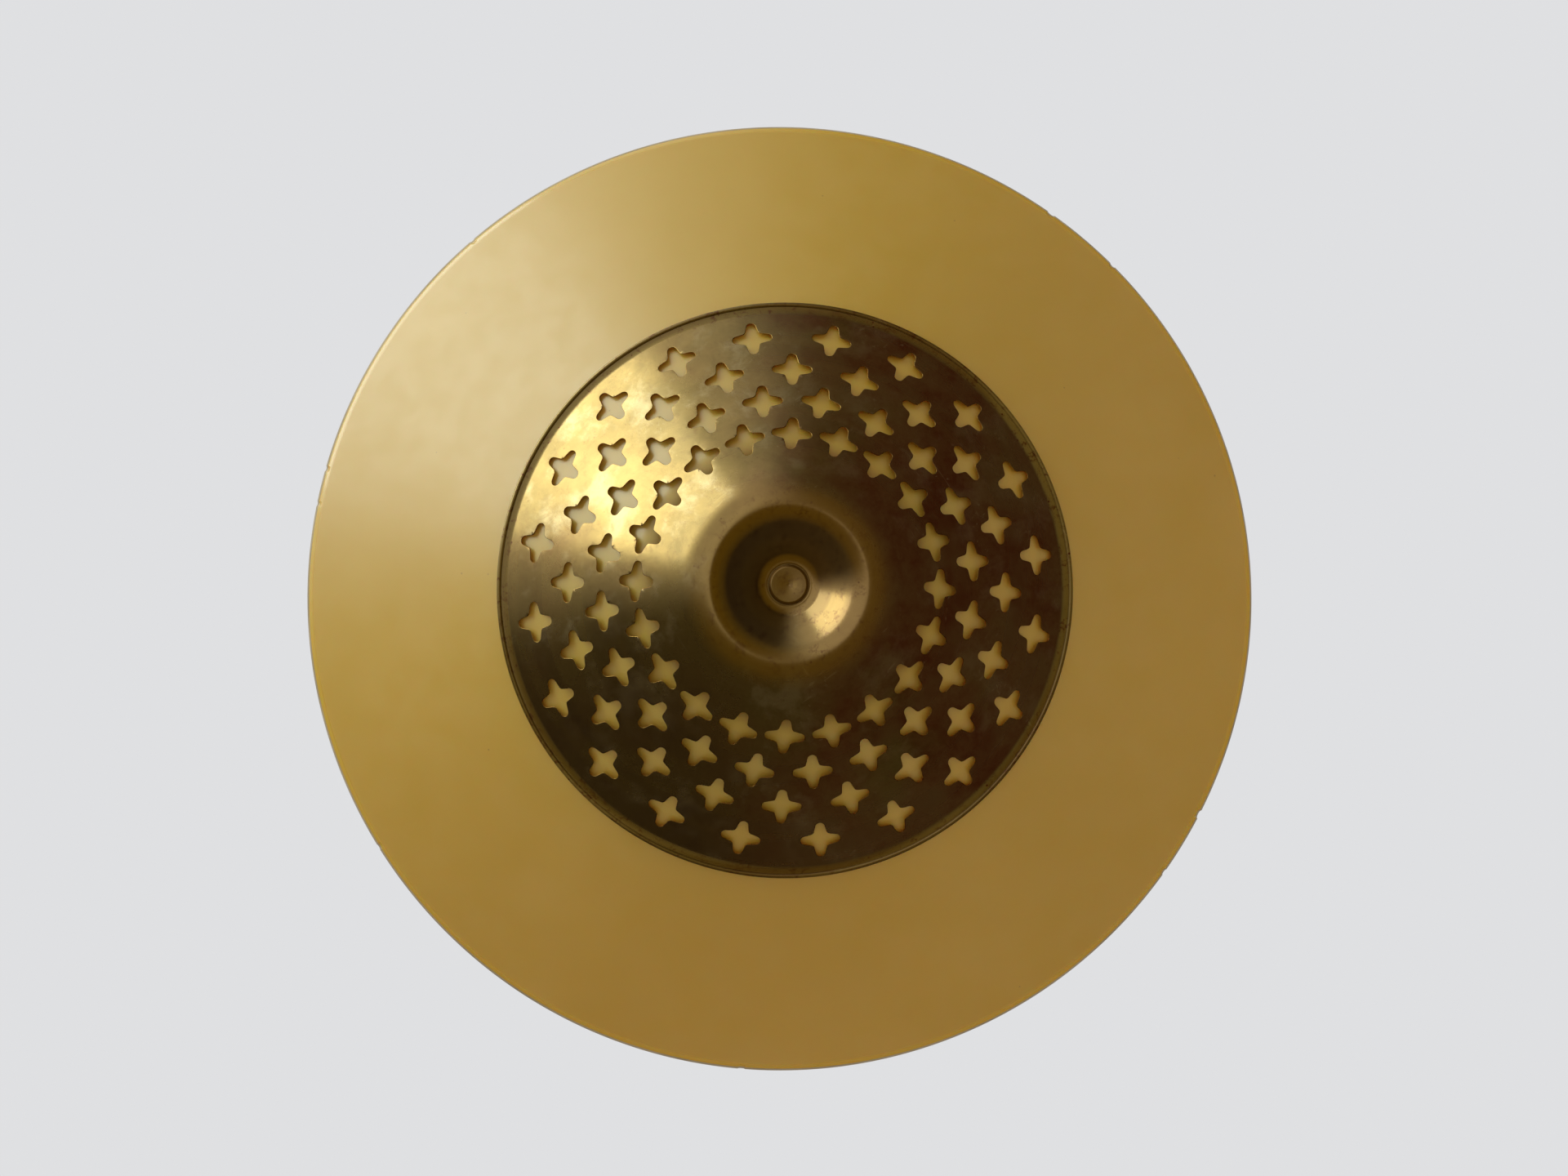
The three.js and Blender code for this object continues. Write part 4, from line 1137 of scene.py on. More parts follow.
class CapShape:
    """The brass cap's section, worked out from the crest outwards."""

    def __init__(self, sizes):
        self.slope = sizes.cap_slope
        self.degrees = math.degrees(sizes.cap_slope)
        self.crest = Vector((CAP_CREST_RADIUS, CAP_CREST_Z + CAP_CREST_ROUND))
        self.shoulder = self.crest + polar(CAP_SHOULDER_ROUND - CAP_CREST_ROUND, 90 + CAP_CREST_TURN)
        self.top_radius = self.shoulder.x + CAP_SHOULDER_ROUND * math.sin(self.slope)
        self.top_z = self.shoulder.y - CAP_SHOULDER_ROUND * math.cos(self.slope)
        self.bead_radius = sizes.cap_radius - CAP_BEAD_RADIUS
        lip_radius = self.bead_radius - CAP_LIP_WIDTH
        self.end_radius = lip_radius - CAP_LIP_ROUND * math.sin(self.slope)
        self.lip = Vector((lip_radius, self.cone_z(self.end_radius) - CAP_LIP_ROUND * math.cos(self.slope)))
        turn = math.radians(CAP_DIMPLE_SLOPE)
        run, rise = CAP_CREST_RADIUS - CAP_SEAT_RADIUS, CAP_SEAT_Z - CAP_CREST_Z
        bends = (run * math.sin(turn) - rise * math.cos(turn)) / (1 - math.cos(turn))
        self.dimple_round = bends - CAP_DIMPLE_EDGE
        self.dimple = Vector((CAP_SEAT_RADIUS, CAP_SEAT_Z - self.dimple_round))
        self.dimple_edge = Vector((CAP_CREST_RADIUS, CAP_CREST_Z + CAP_DIMPLE_EDGE))

    def cone_z(self, radius):
        return self.top_z + (radius - self.top_radius) * math.tan(self.slope)

    def face(self, inset):
        """The dimple, the crest and the start of the cone, from the bore outwards."""
        turn = CAP_DIMPLE_SLOPE
        bottom = arc(self.dimple, self.dimple_round + inset, 90, 90 - turn, 14)
        edge = arc(self.dimple_edge, CAP_DIMPLE_EDGE - inset, -90 - turn, -90, 12)
        wall = [bottom[-1].lerp(edge[0], step / 6) for step in range(1, 6)]
        top = arc(self.crest, CAP_CREST_ROUND - inset, -90, -90 + CAP_CREST_TURN, 10)
        shoulder = arc(self.shoulder, CAP_SHOULDER_ROUND - inset, -90 + CAP_CREST_TURN, -90 + self.degrees, 6)
        return bottom + wall + edge + top[1:] + shoulder[1:]

    def middle_profile(self):
        """From the cone's inner face over crest and dimple to the bore, and back outside."""
        inner, outer = self.face(CAP_SHEET)[::-1], self.face(0)
        bore = rounded([
            inner[-1], (CAP_BORE, CAP_SEAT_Z + CAP_SHEET), (CAP_BORE, CAP_SEAT_Z), outer[0],
        ], 0.2 * MM)
        return inner + bore[1:-1] + outer

    def rim_profile(self):
        """From the cone's outer face round the lip and bead to its inner face."""
        half_sheet = CAP_SHEET / 2
        bead = Vector((self.bead_radius, self.lip.y + CAP_LIP_ROUND + half_sheet))
        turn = 180 - math.degrees(math.asin(half_sheet / CAP_BEAD_RADIUS))
        outer = arc(self.lip, CAP_LIP_ROUND, 90 + self.degrees, 90, 8)
        inner = arc(self.lip, CAP_LIP_ROUND + CAP_SHEET, 90, 90 + self.degrees, 8)
        return outer + arc(bead, CAP_BEAD_RADIUS, -turn, turn, 20) + inner

    def on_cone(self, x, y, depth):
        """Puts a point of the plan on the cone, or that deep inside its sheet."""
        radius = math.hypot(x, y)
        inward = Vector((x / radius, y / radius)) * (depth * math.sin(self.slope))
        return Vector((x - inward.x, y - inward.y, self.cone_z(radius) + depth * math.cos(self.slope)))

    def star_place(self, radius, angle, twist):
        """Takes points about a star's middle to the plan, keeping their size on the slope."""
        shrink = math.cos(self.slope)
        slant = radius / shrink
        turn = Matrix.Rotation(math.radians(twist), 2)

        def put(point):
            out, across = turn @ point
            length = math.hypot(slant + out, across)
            bearing = math.radians(angle) + math.atan2(across, slant + out) / shrink
            return Vector((math.cos(bearing), math.sin(bearing))) * length * shrink
        return put


def star_holes(sizes, shape):
    """Loops of all stars, each struck a little differently, and a test for points near one."""
    shake = random.Random(11)
    loops, middles = [], []
    for radius, first, twist in STAR_RINGS:
        for number in range(STARS_PER_RING):
            angle = first + 360 * number / STARS_PER_RING + shake.uniform(-0.12, 0.12)
            struck = radius + shake.uniform(-0.2, 0.2) * MM
            put = shape.star_place(struck, angle, twist + shake.uniform(-1.1, 1.1))
            loops.append(lambda grown, put=put: [put(point) for point in star(sizes, grown)])
            middles.append((struck, math.radians(angle), math.radians(twist)))
    margin = 3 * STAR_EDGE + 0.5 * MM
    reach, arm = sizes.star_reach + margin, sizes.star_tip + 2 * margin

    def near_star(radius, bearing):
        for struck, angle, twist in middles:
            turn = (bearing - angle + math.pi) % FULL_TURN - math.pi
            out, across = (radius - struck) / math.cos(shape.slope), radius * turn
            if max(abs(out), abs(across)) > reach:
                continue
            along = out * math.cos(twist) + across * math.sin(twist)
            aside = across * math.cos(twist) - out * math.sin(twist)
            if min(abs(along), abs(aside)) < arm or math.hypot(along, aside) < STAR_WAIST + margin:
                return True
        return False
    return loops, near_star


def even_points(shape, near_star):
    """Points spread evenly over the cone between the stars."""
    span = shape.end_radius - shape.top_radius
    rows = round(span / CAP_ROW_STEP)
    points = []
    for row in range(1, rows):
        radius = shape.top_radius + span * row / rows
        for side in range(CAP_SIDES):
            bearing = FULL_TURN * (side + 0.5 * (row % 2)) / CAP_SIDES
            if not near_star(radius, bearing):
                points.append(Vector((math.cos(bearing), math.sin(bearing))) * radius)
    return points


class LAMP_OT_cap(bpy.types.Operator):
    """Spins the brass cap and strikes its rings of stars"""

    bl_idname = "lamp.cap"
    bl_label = "Pierced brass cap"

    def execute(self, context):
        sizes = context.scene.lamp_sizes
        shape = CapShape(sizes)
        holes, near_star = star_holes(sizes, shape)
        rings = [circle((0, 0), radius, CAP_SIDES)(0) for radius in (shape.top_radius, shape.end_radius)]
        bm = bmesh.new()
        pierced(
            bm, shape.on_cone, CAP_SHEET, STAR_EDGE, holes=holes, borders=rings,
            inside=even_points(shape, near_star), cut=1, flare=STAR_BREAK,
        )
        lathe(bm, shape.middle_profile(), CAP_SIDES)
        lathe(bm, shape.rim_profile(), CAP_SIDES)
        bmesh.ops.remove_doubles(bm, verts=bm.verts, dist=SEAM)
        for vert in bm.verts:
            flat = Vector((vert.co.x, vert.co.y, 0))
            calm = min(1, flat.length / CAP_CREST_RADIUS)
            vert.co.z += CAP_UNEVENNESS * noise.noise(flat * CAP_DENT_SCALE) * calm
        piece("pierced_cap", bm, "aged_brass", "star_cap", "cap", extra="cut_edge")
        return {"FINISHED"}


def inner_thread(start, end):
    """A bend that threads only the rod's bore."""
    cut = threaded(start, end, 0.25 * MM, ROD_PITCH)

    def bend(radius, z, angle):
        return cut(radius, z, angle) if abs(radius - ROD_HOLE) < 1e-6 else (radius, z)
    return bend


class LAMP_OT_bush(bpy.types.Operator):
    """Turns the threaded bush whose round end shows in the cap's dimple"""

    bl_idname = "lamp.bush"
    bl_label = "Threaded bush"

    def execute(self, context):
        top = highest("cap_bush")
        flange_top = highest("lower_felt_washer") - LOWER_FELT_THICKNESS - GAP
        flange_low = flange_top - BUSH_FLANGE_THICKNESS
        end = BUSH_FACE_Z + BUSH_END_THICKNESS
        bore = thread_rows(ROD_HOLE, end, top, ROD_PITCH)[::-1]
        outside = rounded([
            (0, BUSH_FACE_Z + 0.5 * MM), (0.5 * MM, BUSH_FACE_Z + 0.3 * MM, 0.3 * MM),
            (BUSH_FACE_RADIUS * 0.55, BUSH_FACE_Z + 0.1 * MM, 3 * MM),
            (BUSH_FACE_RADIUS - 1 * MM, BUSH_FACE_Z, 0.6 * MM),
            (BUSH_FACE_RADIUS, BUSH_FACE_Z + 0.9 * MM, 0.5 * MM), (BUSH_FACE_RADIUS, flange_low),
            (BUSH_FLANGE_RADIUS, flange_low, 0.4 * MM), (BUSH_FLANGE_RADIUS, flange_top, 0.4 * MM),
            (BUSH_BARREL_RADIUS, flange_top), (BUSH_BARREL_RADIUS, top, 0.4 * MM), (ROD_HOLE, top),
        ], 0.15 * MM)
        turned_piece(
            "cap_bush_turned", outside[:-1] + bore + [(0, end)], "aged_brass", "cap_bush", "cap", 96,
            bend=inner_thread(end, top),
        )
        return {"FINISHED"}


def felt_washer(name, node, body, inner, outer):
    """A pressed felt ring with a slightly ragged edge."""
    low, high = lowest(node), highest(node)

    def ragged(radius, z, angle):
        where = Vector((math.cos(angle), math.sin(angle), 40 * z)) * 9
        return radius + 0.18 * MM * noise.noise(where), z
    profile = rounded([
        (inner, low, 0.4 * MM), (outer, low, 0.6 * MM), (outer, high, 0.6 * MM), (inner, high, 0.4 * MM),
    ], 0.5 * MM, closed=True)
    turned_piece(name, profile, "felt", node, body, 120, closed=True, bend=ragged)


class LAMP_OT_felts(bpy.types.Operator):
    """Presses the felt washers above and below the glass"""

    bl_idname = "lamp.felts"
    bl_label = "Felt washers"

    def execute(self, context):
        felt_washer("felt_above_glass", "upper_felt_washer", "upper_washer", ROD_HOLE, UPPER_FELT_RADIUS)
        felt_washer(
            "felt_below_glass", "lower_felt_washer", "lower_washer",
            BUSH_BARREL_RADIUS + GAP, LOWER_FELT_RADIUS,
        )
        return {"FINISHED"}


# Centre column


def plain_ring(name, node, slot, inner, outer, soft):
    """A tube or washer as high as its node, with softened edges."""
    profile = rounded(band(inner, outer, lowest(node), highest(node)), soft, closed=True)
    turned_piece(name, profile, slot, node, closed=True)


def hex_nut(name, node):
    """A hexagon nut with its corners turned off at both faces."""
    low, high = lowest(node), highest(node)
    middle = (low + high) / 2
    flat = NUT_ACROSS_FLATS / 2
    face = 0.95 * flat

    def hexagon(radius, z, angle):
        if radius < face + 1e-6:
            return radius, z
        around = (math.degrees(angle) + 60) % 60 - 30
        wide = flat / math.cos(math.radians(around))
        drop = (wide - face) * math.tan(math.radians(NUT_CHAMFER))
        return wide, min(max(z, low + drop), high - drop) if abs(z - middle) > 0.1 * MM else z
    lead_in = 0.4 * MM
    profile = [
        (ROD_HOLE + lead_in, low), (face, low), (flat, low), (flat, middle), (flat, high), (face, high),
        (ROD_HOLE + lead_in, high), (ROD_HOLE, high - lead_in), (ROD_HOLE, low + lead_in),
    ]
    turned_piece(name, profile, "steel", node, sides=120, closed=True, bend=hexagon)


class LAMP_OT_column(bpy.types.Operator):
    """Makes the threaded rod with its nuts, washer, spacer tube and seat plate"""

    bl_idname = "lamp.column"
    bl_label = "Centre column"

    def execute(self, context):
        low, high = lowest("centre_rod"), highest("centre_rod")
        rod = [(0, low), (ROD_RADIUS - 0.6 * MM, low)]
        rod += thread_rows(ROD_RADIUS, low + 0.5 * MM, high - 0.5 * MM, ROD_PITCH)
        rod += [(ROD_RADIUS - 0.6 * MM, high), (0, high)]
        turned_piece("threaded_rod", rod, "steel", "centre_rod", sides=32,
                     bend=threaded(low, high, 0.45 * MM, ROD_PITCH, 1.0))
        plain_ring("brass_spacer", "spacer_tube", "brass", ROD_HOLE, SPACER_RADIUS, 0.4 * MM)
        low, high = lowest("seat_plate"), highest("seat_plate")
        inner, floor_top = SEAT_PLATE_RADIUS - SEAT_PLATE_SHEET, low + SEAT_PLATE_SHEET
        plate = rounded([
            (ROD_HOLE, low, 0.3 * MM), (SEAT_PLATE_RADIUS, low, 2.4 * MM),
            (SEAT_PLATE_RADIUS, high, 0.9 * MM), (inner, high, 0.9 * MM),
            (inner, floor_top, 0.6 * MM), (ROD_HOLE, floor_top, 0.3 * MM),
        ], 0.3 * MM, 5, closed=True)
        turned_piece("brass_seat_plate", plate, "brass", "seat_plate", sides=120, closed=True)
        plain_ring("steel_washer", "bracket_washer", "steel", ROD_HOLE, WASHER_RADIUS, 0.25 * MM)
        hex_nut("bracket_nut_hex", "bracket_nut")
        hex_nut("pan_locknut_hex", "pan_locknut")
        return {"FINISHED"}


# Fixings at the ceiling


class LAMP_OT_strap(bpy.types.Operator):
    """Cuts the slotted ceiling strap with its threaded boss"""

    bl_idname = "lamp.strap"
    bl_label = "Ceiling strap"

    def execute(self, context):
        low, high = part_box("ceiling_strap")
        half_slot = STRAP_SLOT_LENGTH / 2 - STRAP_SLOT_RADIUS
        slots = [
            stadium((side * STRAP_SLOT_SPACING / 2, 0), half_slot, STRAP_SLOT_RADIUS) for side in (-1, 1)
        ]
        bm = bmesh.new()
        pierced(
            bm, level(0), STRAP_THICKNESS, 0.4 * MM,
            outline=rectangle(high.x, high.y, 4 * MM, 6), holes=slots,
        )
        start = -STRAP_THICKNESS
        bore = thread_rows(ROD_HOLE, low.z, start - 0.2 * MM, ROD_PITCH)
        lathe(bm, [
            (STRAP_BOSS_RADIUS + 1.2 * MM, start + 0.5 * MM),
            (STRAP_BOSS_RADIUS + 0.3 * MM, start - 0.3 * MM),
            (STRAP_BOSS_RADIUS, start - 1.2 * MM), (STRAP_BOSS_RADIUS, low.z + 0.6 * MM),
            (STRAP_BOSS_RADIUS - 0.6 * MM, low.z), (ROD_HOLE + 0.5 * MM, low.z), *bore, (0, start),
        ], 64, bend=inner_thread(low.z, start))
        piece("slotted_strap", bm, "steel", "ceiling_strap")
        return {"FINISHED"}


def around(index):
    """The bearing of one of the three lampholders and their grommets."""
    return 90 + 120 * index


class LAMP_OT_pan(bpy.types.Operator):
    """Draws the enamelled ceiling pan and drills its floor"""

    bl_idname = "lamp.pan"
    bl_label = "Ceiling pan"

    def execute(self, context):
        high = highest("ceiling_pan")
        floor_radius = PAN_RADIUS - PAN_CORNER
        corner = Vector((floor_radius, PAN_FLOOR + PAN_CORNER))
        small = SMALL_SCREW_RADIUS + HOLE_PLAY
        holes = [
            circle((0, 0), ROD_HOLE, 32),
            *[circle(polar(GROMMET_CIRCLE, around(index)), GROMMET_NECK + GAP, 32) for index in range(3)],
            circle(polar(EARTH_DISTANCE, EARTH_ANGLE), small, 20),
            circle((BLOCK_PITCH / 2, -BLOCK_DISTANCE), small, 20),
        ]
        bm = bmesh.new()
        pierced(
            bm, level(PAN_FLOOR_TOP), PAN_SHEET, 0.3 * MM, holes=holes,
            borders=[circle((0, 0), floor_radius, PAN_SIDES)(0)],
        )
        outer = arc(corner, PAN_CORNER, -90, 0, 8)
        inner = arc(corner, PAN_CORNER - PAN_SHEET, 0, -90, 8)
        wall = rounded([
            outer[-1], (PAN_RADIUS, high - PAN_SHEET, 1.4 * MM),
            (PAN_RADIUS + PAN_FLANGE, high - PAN_SHEET, 0.5 * MM), (PAN_RADIUS + PAN_FLANGE, high, 0.5 * MM),
            (PAN_RADIUS - PAN_SHEET, high, 2 * MM), inner[0],
        ], 0.5 * MM, 5)
        lathe(bm, outer + wall[1:-1] + inner, PAN_SIDES)
        bmesh.ops.remove_doubles(bm, verts=bm.verts, dist=SEAM)
        piece("enamelled_pan", bm, "white_enamel", "ceiling_pan")
        return {"FINISHED"}


# Lampholders and bulbs


def holder_places():
    """For each lampholder, its body and two matrices: its own frame, and one with Z out along it."""
    places = []
    for joint in frame["joints"]:
        if joint["name"].startswith("bulb_"):
            axis = Vector(joint["axis"])
            swing = Matrix.Rotation(math.atan2(axis.y, axis.x), 4, "Z")
            tilt = Matrix.Rotation(math.asin(-axis.z), 4, "Y")
            own = Matrix.Translation(joint["pos_m"]) @ swing @ tilt
            places.append((joint["child"], own, own @ Matrix.Rotation(math.pi / 2, 4, "Y")))
    return places


class LAMP_OT_bracket(bpy.types.Operator):
    """Presses the bracket: a round plate with an arm bent down for each lampholder"""

    bl_idname = "lamp.bracket"
    bl_label = "Lampholder bracket"

    def execute(self, context):
        places = holder_places()
        origin = places[0][1].translation
        tilt = math.asin(-Vector(frame["joints"][-1]["axis"]).z)
        plate_radius = math.hypot(origin.x, origin.y) + BRACKET_SCREW_DROP * math.sin(tilt)
        bm = bmesh.new()
        pierced(
            bm, level(highest("holder_bracket")), BRACKET_THICKNESS, 0.3 * MM,
            outline=circle((0, 0), plate_radius, 96), holes=[circle((0, 0), ROD_HOLE, 32)],
        )
        tall = BRACKET_ARM_LENGTH + BRACKET_THICKNESS / 2
        middle = BRACKET_SCREW_DROP - tall / 2 + BRACKET_THICKNESS / 2
        arm = rectangle(BRACKET_ARM_WIDTH / 2, tall / 2, BRACKET_ARM_CORNER, 5)
        hole = circle((0, -middle), HOLDER_SCREW_RADIUS + HOLE_PLAY, 24)
        for _, own, _ in places:
            def upright(x, y, depth, lifted=own @ Matrix.Translation((0, 0, middle))):
                return lifted @ Vector((-depth, x, y))
            pierced(bm, upright, BRACKET_THICKNESS, 0.3 * MM, outline=arm, holes=[hole])
        piece("pressed_bracket", bm, "steel", "holder_bracket")
        return {"FINISHED"}


def porcelain_holder(number, out):
    """Porcelain body: ribbed foot, stepped neck and the socket's bore."""
    back, mouth = GAP, GAP + HOLDER_LENGTH
    shoulder = mouth - HOLDER_NECK_LENGTH
    profile = rounded([
        (0, back), (HOLDER_RADIUS, back, 1.6 * MM), (HOLDER_RADIUS, back + 5 * MM, 0.5 * MM),
        (HOLDER_RADIUS - 0.9 * MM, back + 5.7 * MM, 0.6 * MM), (HOLDER_RADIUS, back + 6.4 * MM, 0.5 * MM),
        (HOLDER_RADIUS, shoulder, 2.2 * MM), (HOLDER_NECK_RADIUS, shoulder + 0.4 * MM, 0.9 * MM),
        (HOLDER_NECK_RADIUS, mouth, 1.3 * MM), (SOCKET_RADIUS, mouth, 1 * MM),
        (SOCKET_RADIUS, back + HOLDER_BACK, 0.5 * MM), (0, back + HOLDER_BACK),
    ], 0.5 * MM, 4)
    turned_piece(
        f"porcelain_holder_{number}", profile, "porcelain", f"lampholder_{number}", sides=96, place=out)


def lead_collar(number, own):
    """The raised rim round the hole where the lead enters the porcelain."""
    inner, outer = LEAD_RADIUS + LEAD_PLAY, LEAD_RADIUS + 2.6 * MM
    profile = rounded([
        (inner, -3 * MM), (inner, 0.5 * MM, 0.3 * MM), (outer - 0.7 * MM, 0.5 * MM, 0.5 * MM),
        (outer, -0.9 * MM, 0.3 * MM), (outer, -3 * MM),
    ], 0.3 * MM)
    place = own @ Matrix.Translation((LEAD_ENTRY, 0, HOLDER_RADIUS))
    turned_piece(f"lead_collar_{number}", profile, "porcelain", sides=32, place=place)


def lamp_thread(start, end, depth):
    return threaded(start, end, depth, LAMP_THREAD_PITCH, 0.6)


def threaded_shell(number, out):
    """The brass shell in the socket, its thread pressed through to both sides."""
    start = 3 * GAP + HOLDER_BACK + CONTACT_THICKNESS
    end = GAP + HOLDER_LENGTH - 1.9 * MM
    wall = thread_rows(SOCKET_RADIUS - GAP, start, end, LAMP_THREAD_PITCH, 10)
    shell = wall + [(radius - SHELL_WALL, z) for radius, z in wall[::-1]]
    turned_piece(
        f"threaded_shell_{number}", shell, "brass", f"socket_shell_{number}", sides=48, place=out,
        closed=True, bend=lamp_thread(start, end, 0.3 * MM),
    )


def contact_tongue(number, own):
    """The spring tongue on the socket's floor."""
    back = 2 * GAP + HOLDER_BACK
    front = back + CONTACT_RISE
    side = rounded([
        (back, -6 * MM), (back, -2 * MM, 2 * MM), (front, 2 * MM, 2 * MM), (front, 3 * MM),
    ], 1 * MM, 5)
    section = ((0, -1), (0, 1), (CONTACT_THICKNESS, 1), (CONTACT_THICKNESS, -1))
    bm = bmesh.new()
    rows = [[bm.verts.new((x + deep, across * 3 * MM, z)) for deep, across in section] for x, z in side]
    for first, second in zip(rows, rows[1:]):
        for i in range(4):
            j = (i + 1) % 4
            bm.faces.new((first[i], first[j], second[j], second[i]))
    bm.faces.new(rows[0])
    bm.faces.new(rows[-1])
    tongue = piece(f"contact_tongue_{number}", bm, "brass", f"socket_contact_{number}", place=own)
    edge = tongue.modifiers.new("edge", "BEVEL")
    edge.width = 0.1 * MM
    edge.limit_method = "ANGLE"
    tongue.modifiers.move(1, 0)


def screw(name, slot, node, head_low, radii, end, place, turn):
    """A round-headed screw along Z of its place, slotted at a turn. radii are those of its head
    and shank, and end is its tip."""
    head, shank = radii
    top = head_low + SCREW_HEAD_HEIGHT
    profile = [
        (0, end), (shank - 0.3 * MM, end),
        *thread_rows(shank, end + 0.4 * MM, head_low - 0.3 * MM, SCREW_PITCH),
        *rounded([
            (shank, head_low), (head, head_low, 0.2 * MM), (head, head_low + 0.5 * MM, 0.3 * MM),
            (0.62 * head, top - 0.15 * MM, 1.5 * MM), (0, top),
        ], 0.3 * MM, 5),
    ]
    cut = threaded(end, head_low, 0.25 * MM, SCREW_PITCH, 0.6)

    def bend(radius, z, angle):
        return cut(radius, z, angle) if abs(radius - shank) < 1e-6 else (radius, z)
    made = turned_piece(name, profile, slot, node, sides=48, place=place, bend=bend)
    spin = Matrix.Rotation(math.radians(turn), 4, "Z")
    cut_slot(
        made, place @ Matrix.Translation((0, 0, top)) @ spin, 3 * head, 0.28 * head, 0.5 * SCREW_HEAD_HEIGHT)


class LAMP_OT_holders(bpy.types.Operator):
    """Makes the porcelain lampholders with their shells, contacts and screws"""

    bl_idname = "lamp.holders"
    bl_label = "Lampholders"

    def execute(self, context):
        for number, (_, own, out) in enumerate(holder_places(), 1):
            porcelain_holder(number, out)
            lead_collar(number, own)
            threaded_shell(number, out)
            contact_tongue(number, own)
            screw(
                f"holder_screw_slotted_{number}", "steel", f"holder_screw_{number}", BRACKET_THICKNESS + GAP,
                HOLDER_SCREW, -GAP - 6 * MM, out @ Matrix.Rotation(math.pi, 4, "X"), 25 * number,
            )
        return {"FINISHED"}


def bulb_profile(sizes, tip, mouth, neck):
    """Neck, shoulder and round of the bulb, blown thin and closed at its seal in the cap."""
    centre = Vector((0, tip + BULB_LENGTH - sizes.bulb_radius))
    outside = rounded([
        (neck, mouth - 5 * MM), (neck, mouth + 1 * MM, 10 * MM),
        tuple(centre + polar(sizes.bulb_radius, -48)), tuple(centre + polar(sizes.bulb_radius, -40)),
    ], 14 * MM, 10)
    outside = outside[:-1] + arc(centre, sizes.bulb_radius, -40, 90, 30)
    return [(0, mouth - 5 * MM), *[(max(point.x, 0), point.y) for point in outside]]


class LAMP_OT_bulbs(bpy.types.Operator):
    """Blows the opal bulbs and rolls their screw caps"""

    bl_idname = "lamp.bulbs"
    bl_label = "Bulbs"

    def execute(self, context):
        tip = 3 * GAP + HOLDER_BACK + CONTACT_THICKNESS + CONTACT_RISE
        back = tip + 2 * MM
        mouth = back + BULB_CAP_LENGTH
        inner = BULB_CAP_RADIUS - 0.6 * MM
        thread = back + 2 * MM, mouth - 1 * MM
        tip_part = rounded([
            (0, tip), (2.4 * MM, tip, 0.5 * MM), (2.6 * MM, tip + 0.8 * MM, 0.2 * MM),
        ], 0.2 * MM, 4)
        cap = [
            *tip_part, (2.9 * MM, back - 0.9 * MM), (5.2 * MM, back + 1.1 * MM),
            *thread_rows(BULB_CAP_RADIUS, *thread, LAMP_THREAD_PITCH, 10),
            (BULB_CAP_RADIUS + 0.15 * MM, mouth - 0.5 * MM), (BULB_CAP_RADIUS, mouth),
            (inner, mouth), (inner, mouth - 8 * MM), (0, mouth - 8 * MM),
        ]
        dark = range(len(tip_part) - 1, len(tip_part) + 1)
        glass = bulb_profile(context.scene.lamp_sizes, tip, mouth, inner - GAP)
        for number, (body, _, out) in enumerate(holder_places(), 1):
            turned_piece(
                f"rolled_cap_{number}", cap, "brass", f"bulb_cap_{number}", body, 64, out,
                extra="insulator", bend=lamp_thread(*thread, 0.45 * MM),
                materials=lambda row: 1 if row in dark else 0,
            )
            turned_piece(f"opal_bulb_{number}", glass, "bulb_glass", f"bulb_glass_{number}", body, 96, out)
        return {"FINISHED"}


# Wiring in the pan


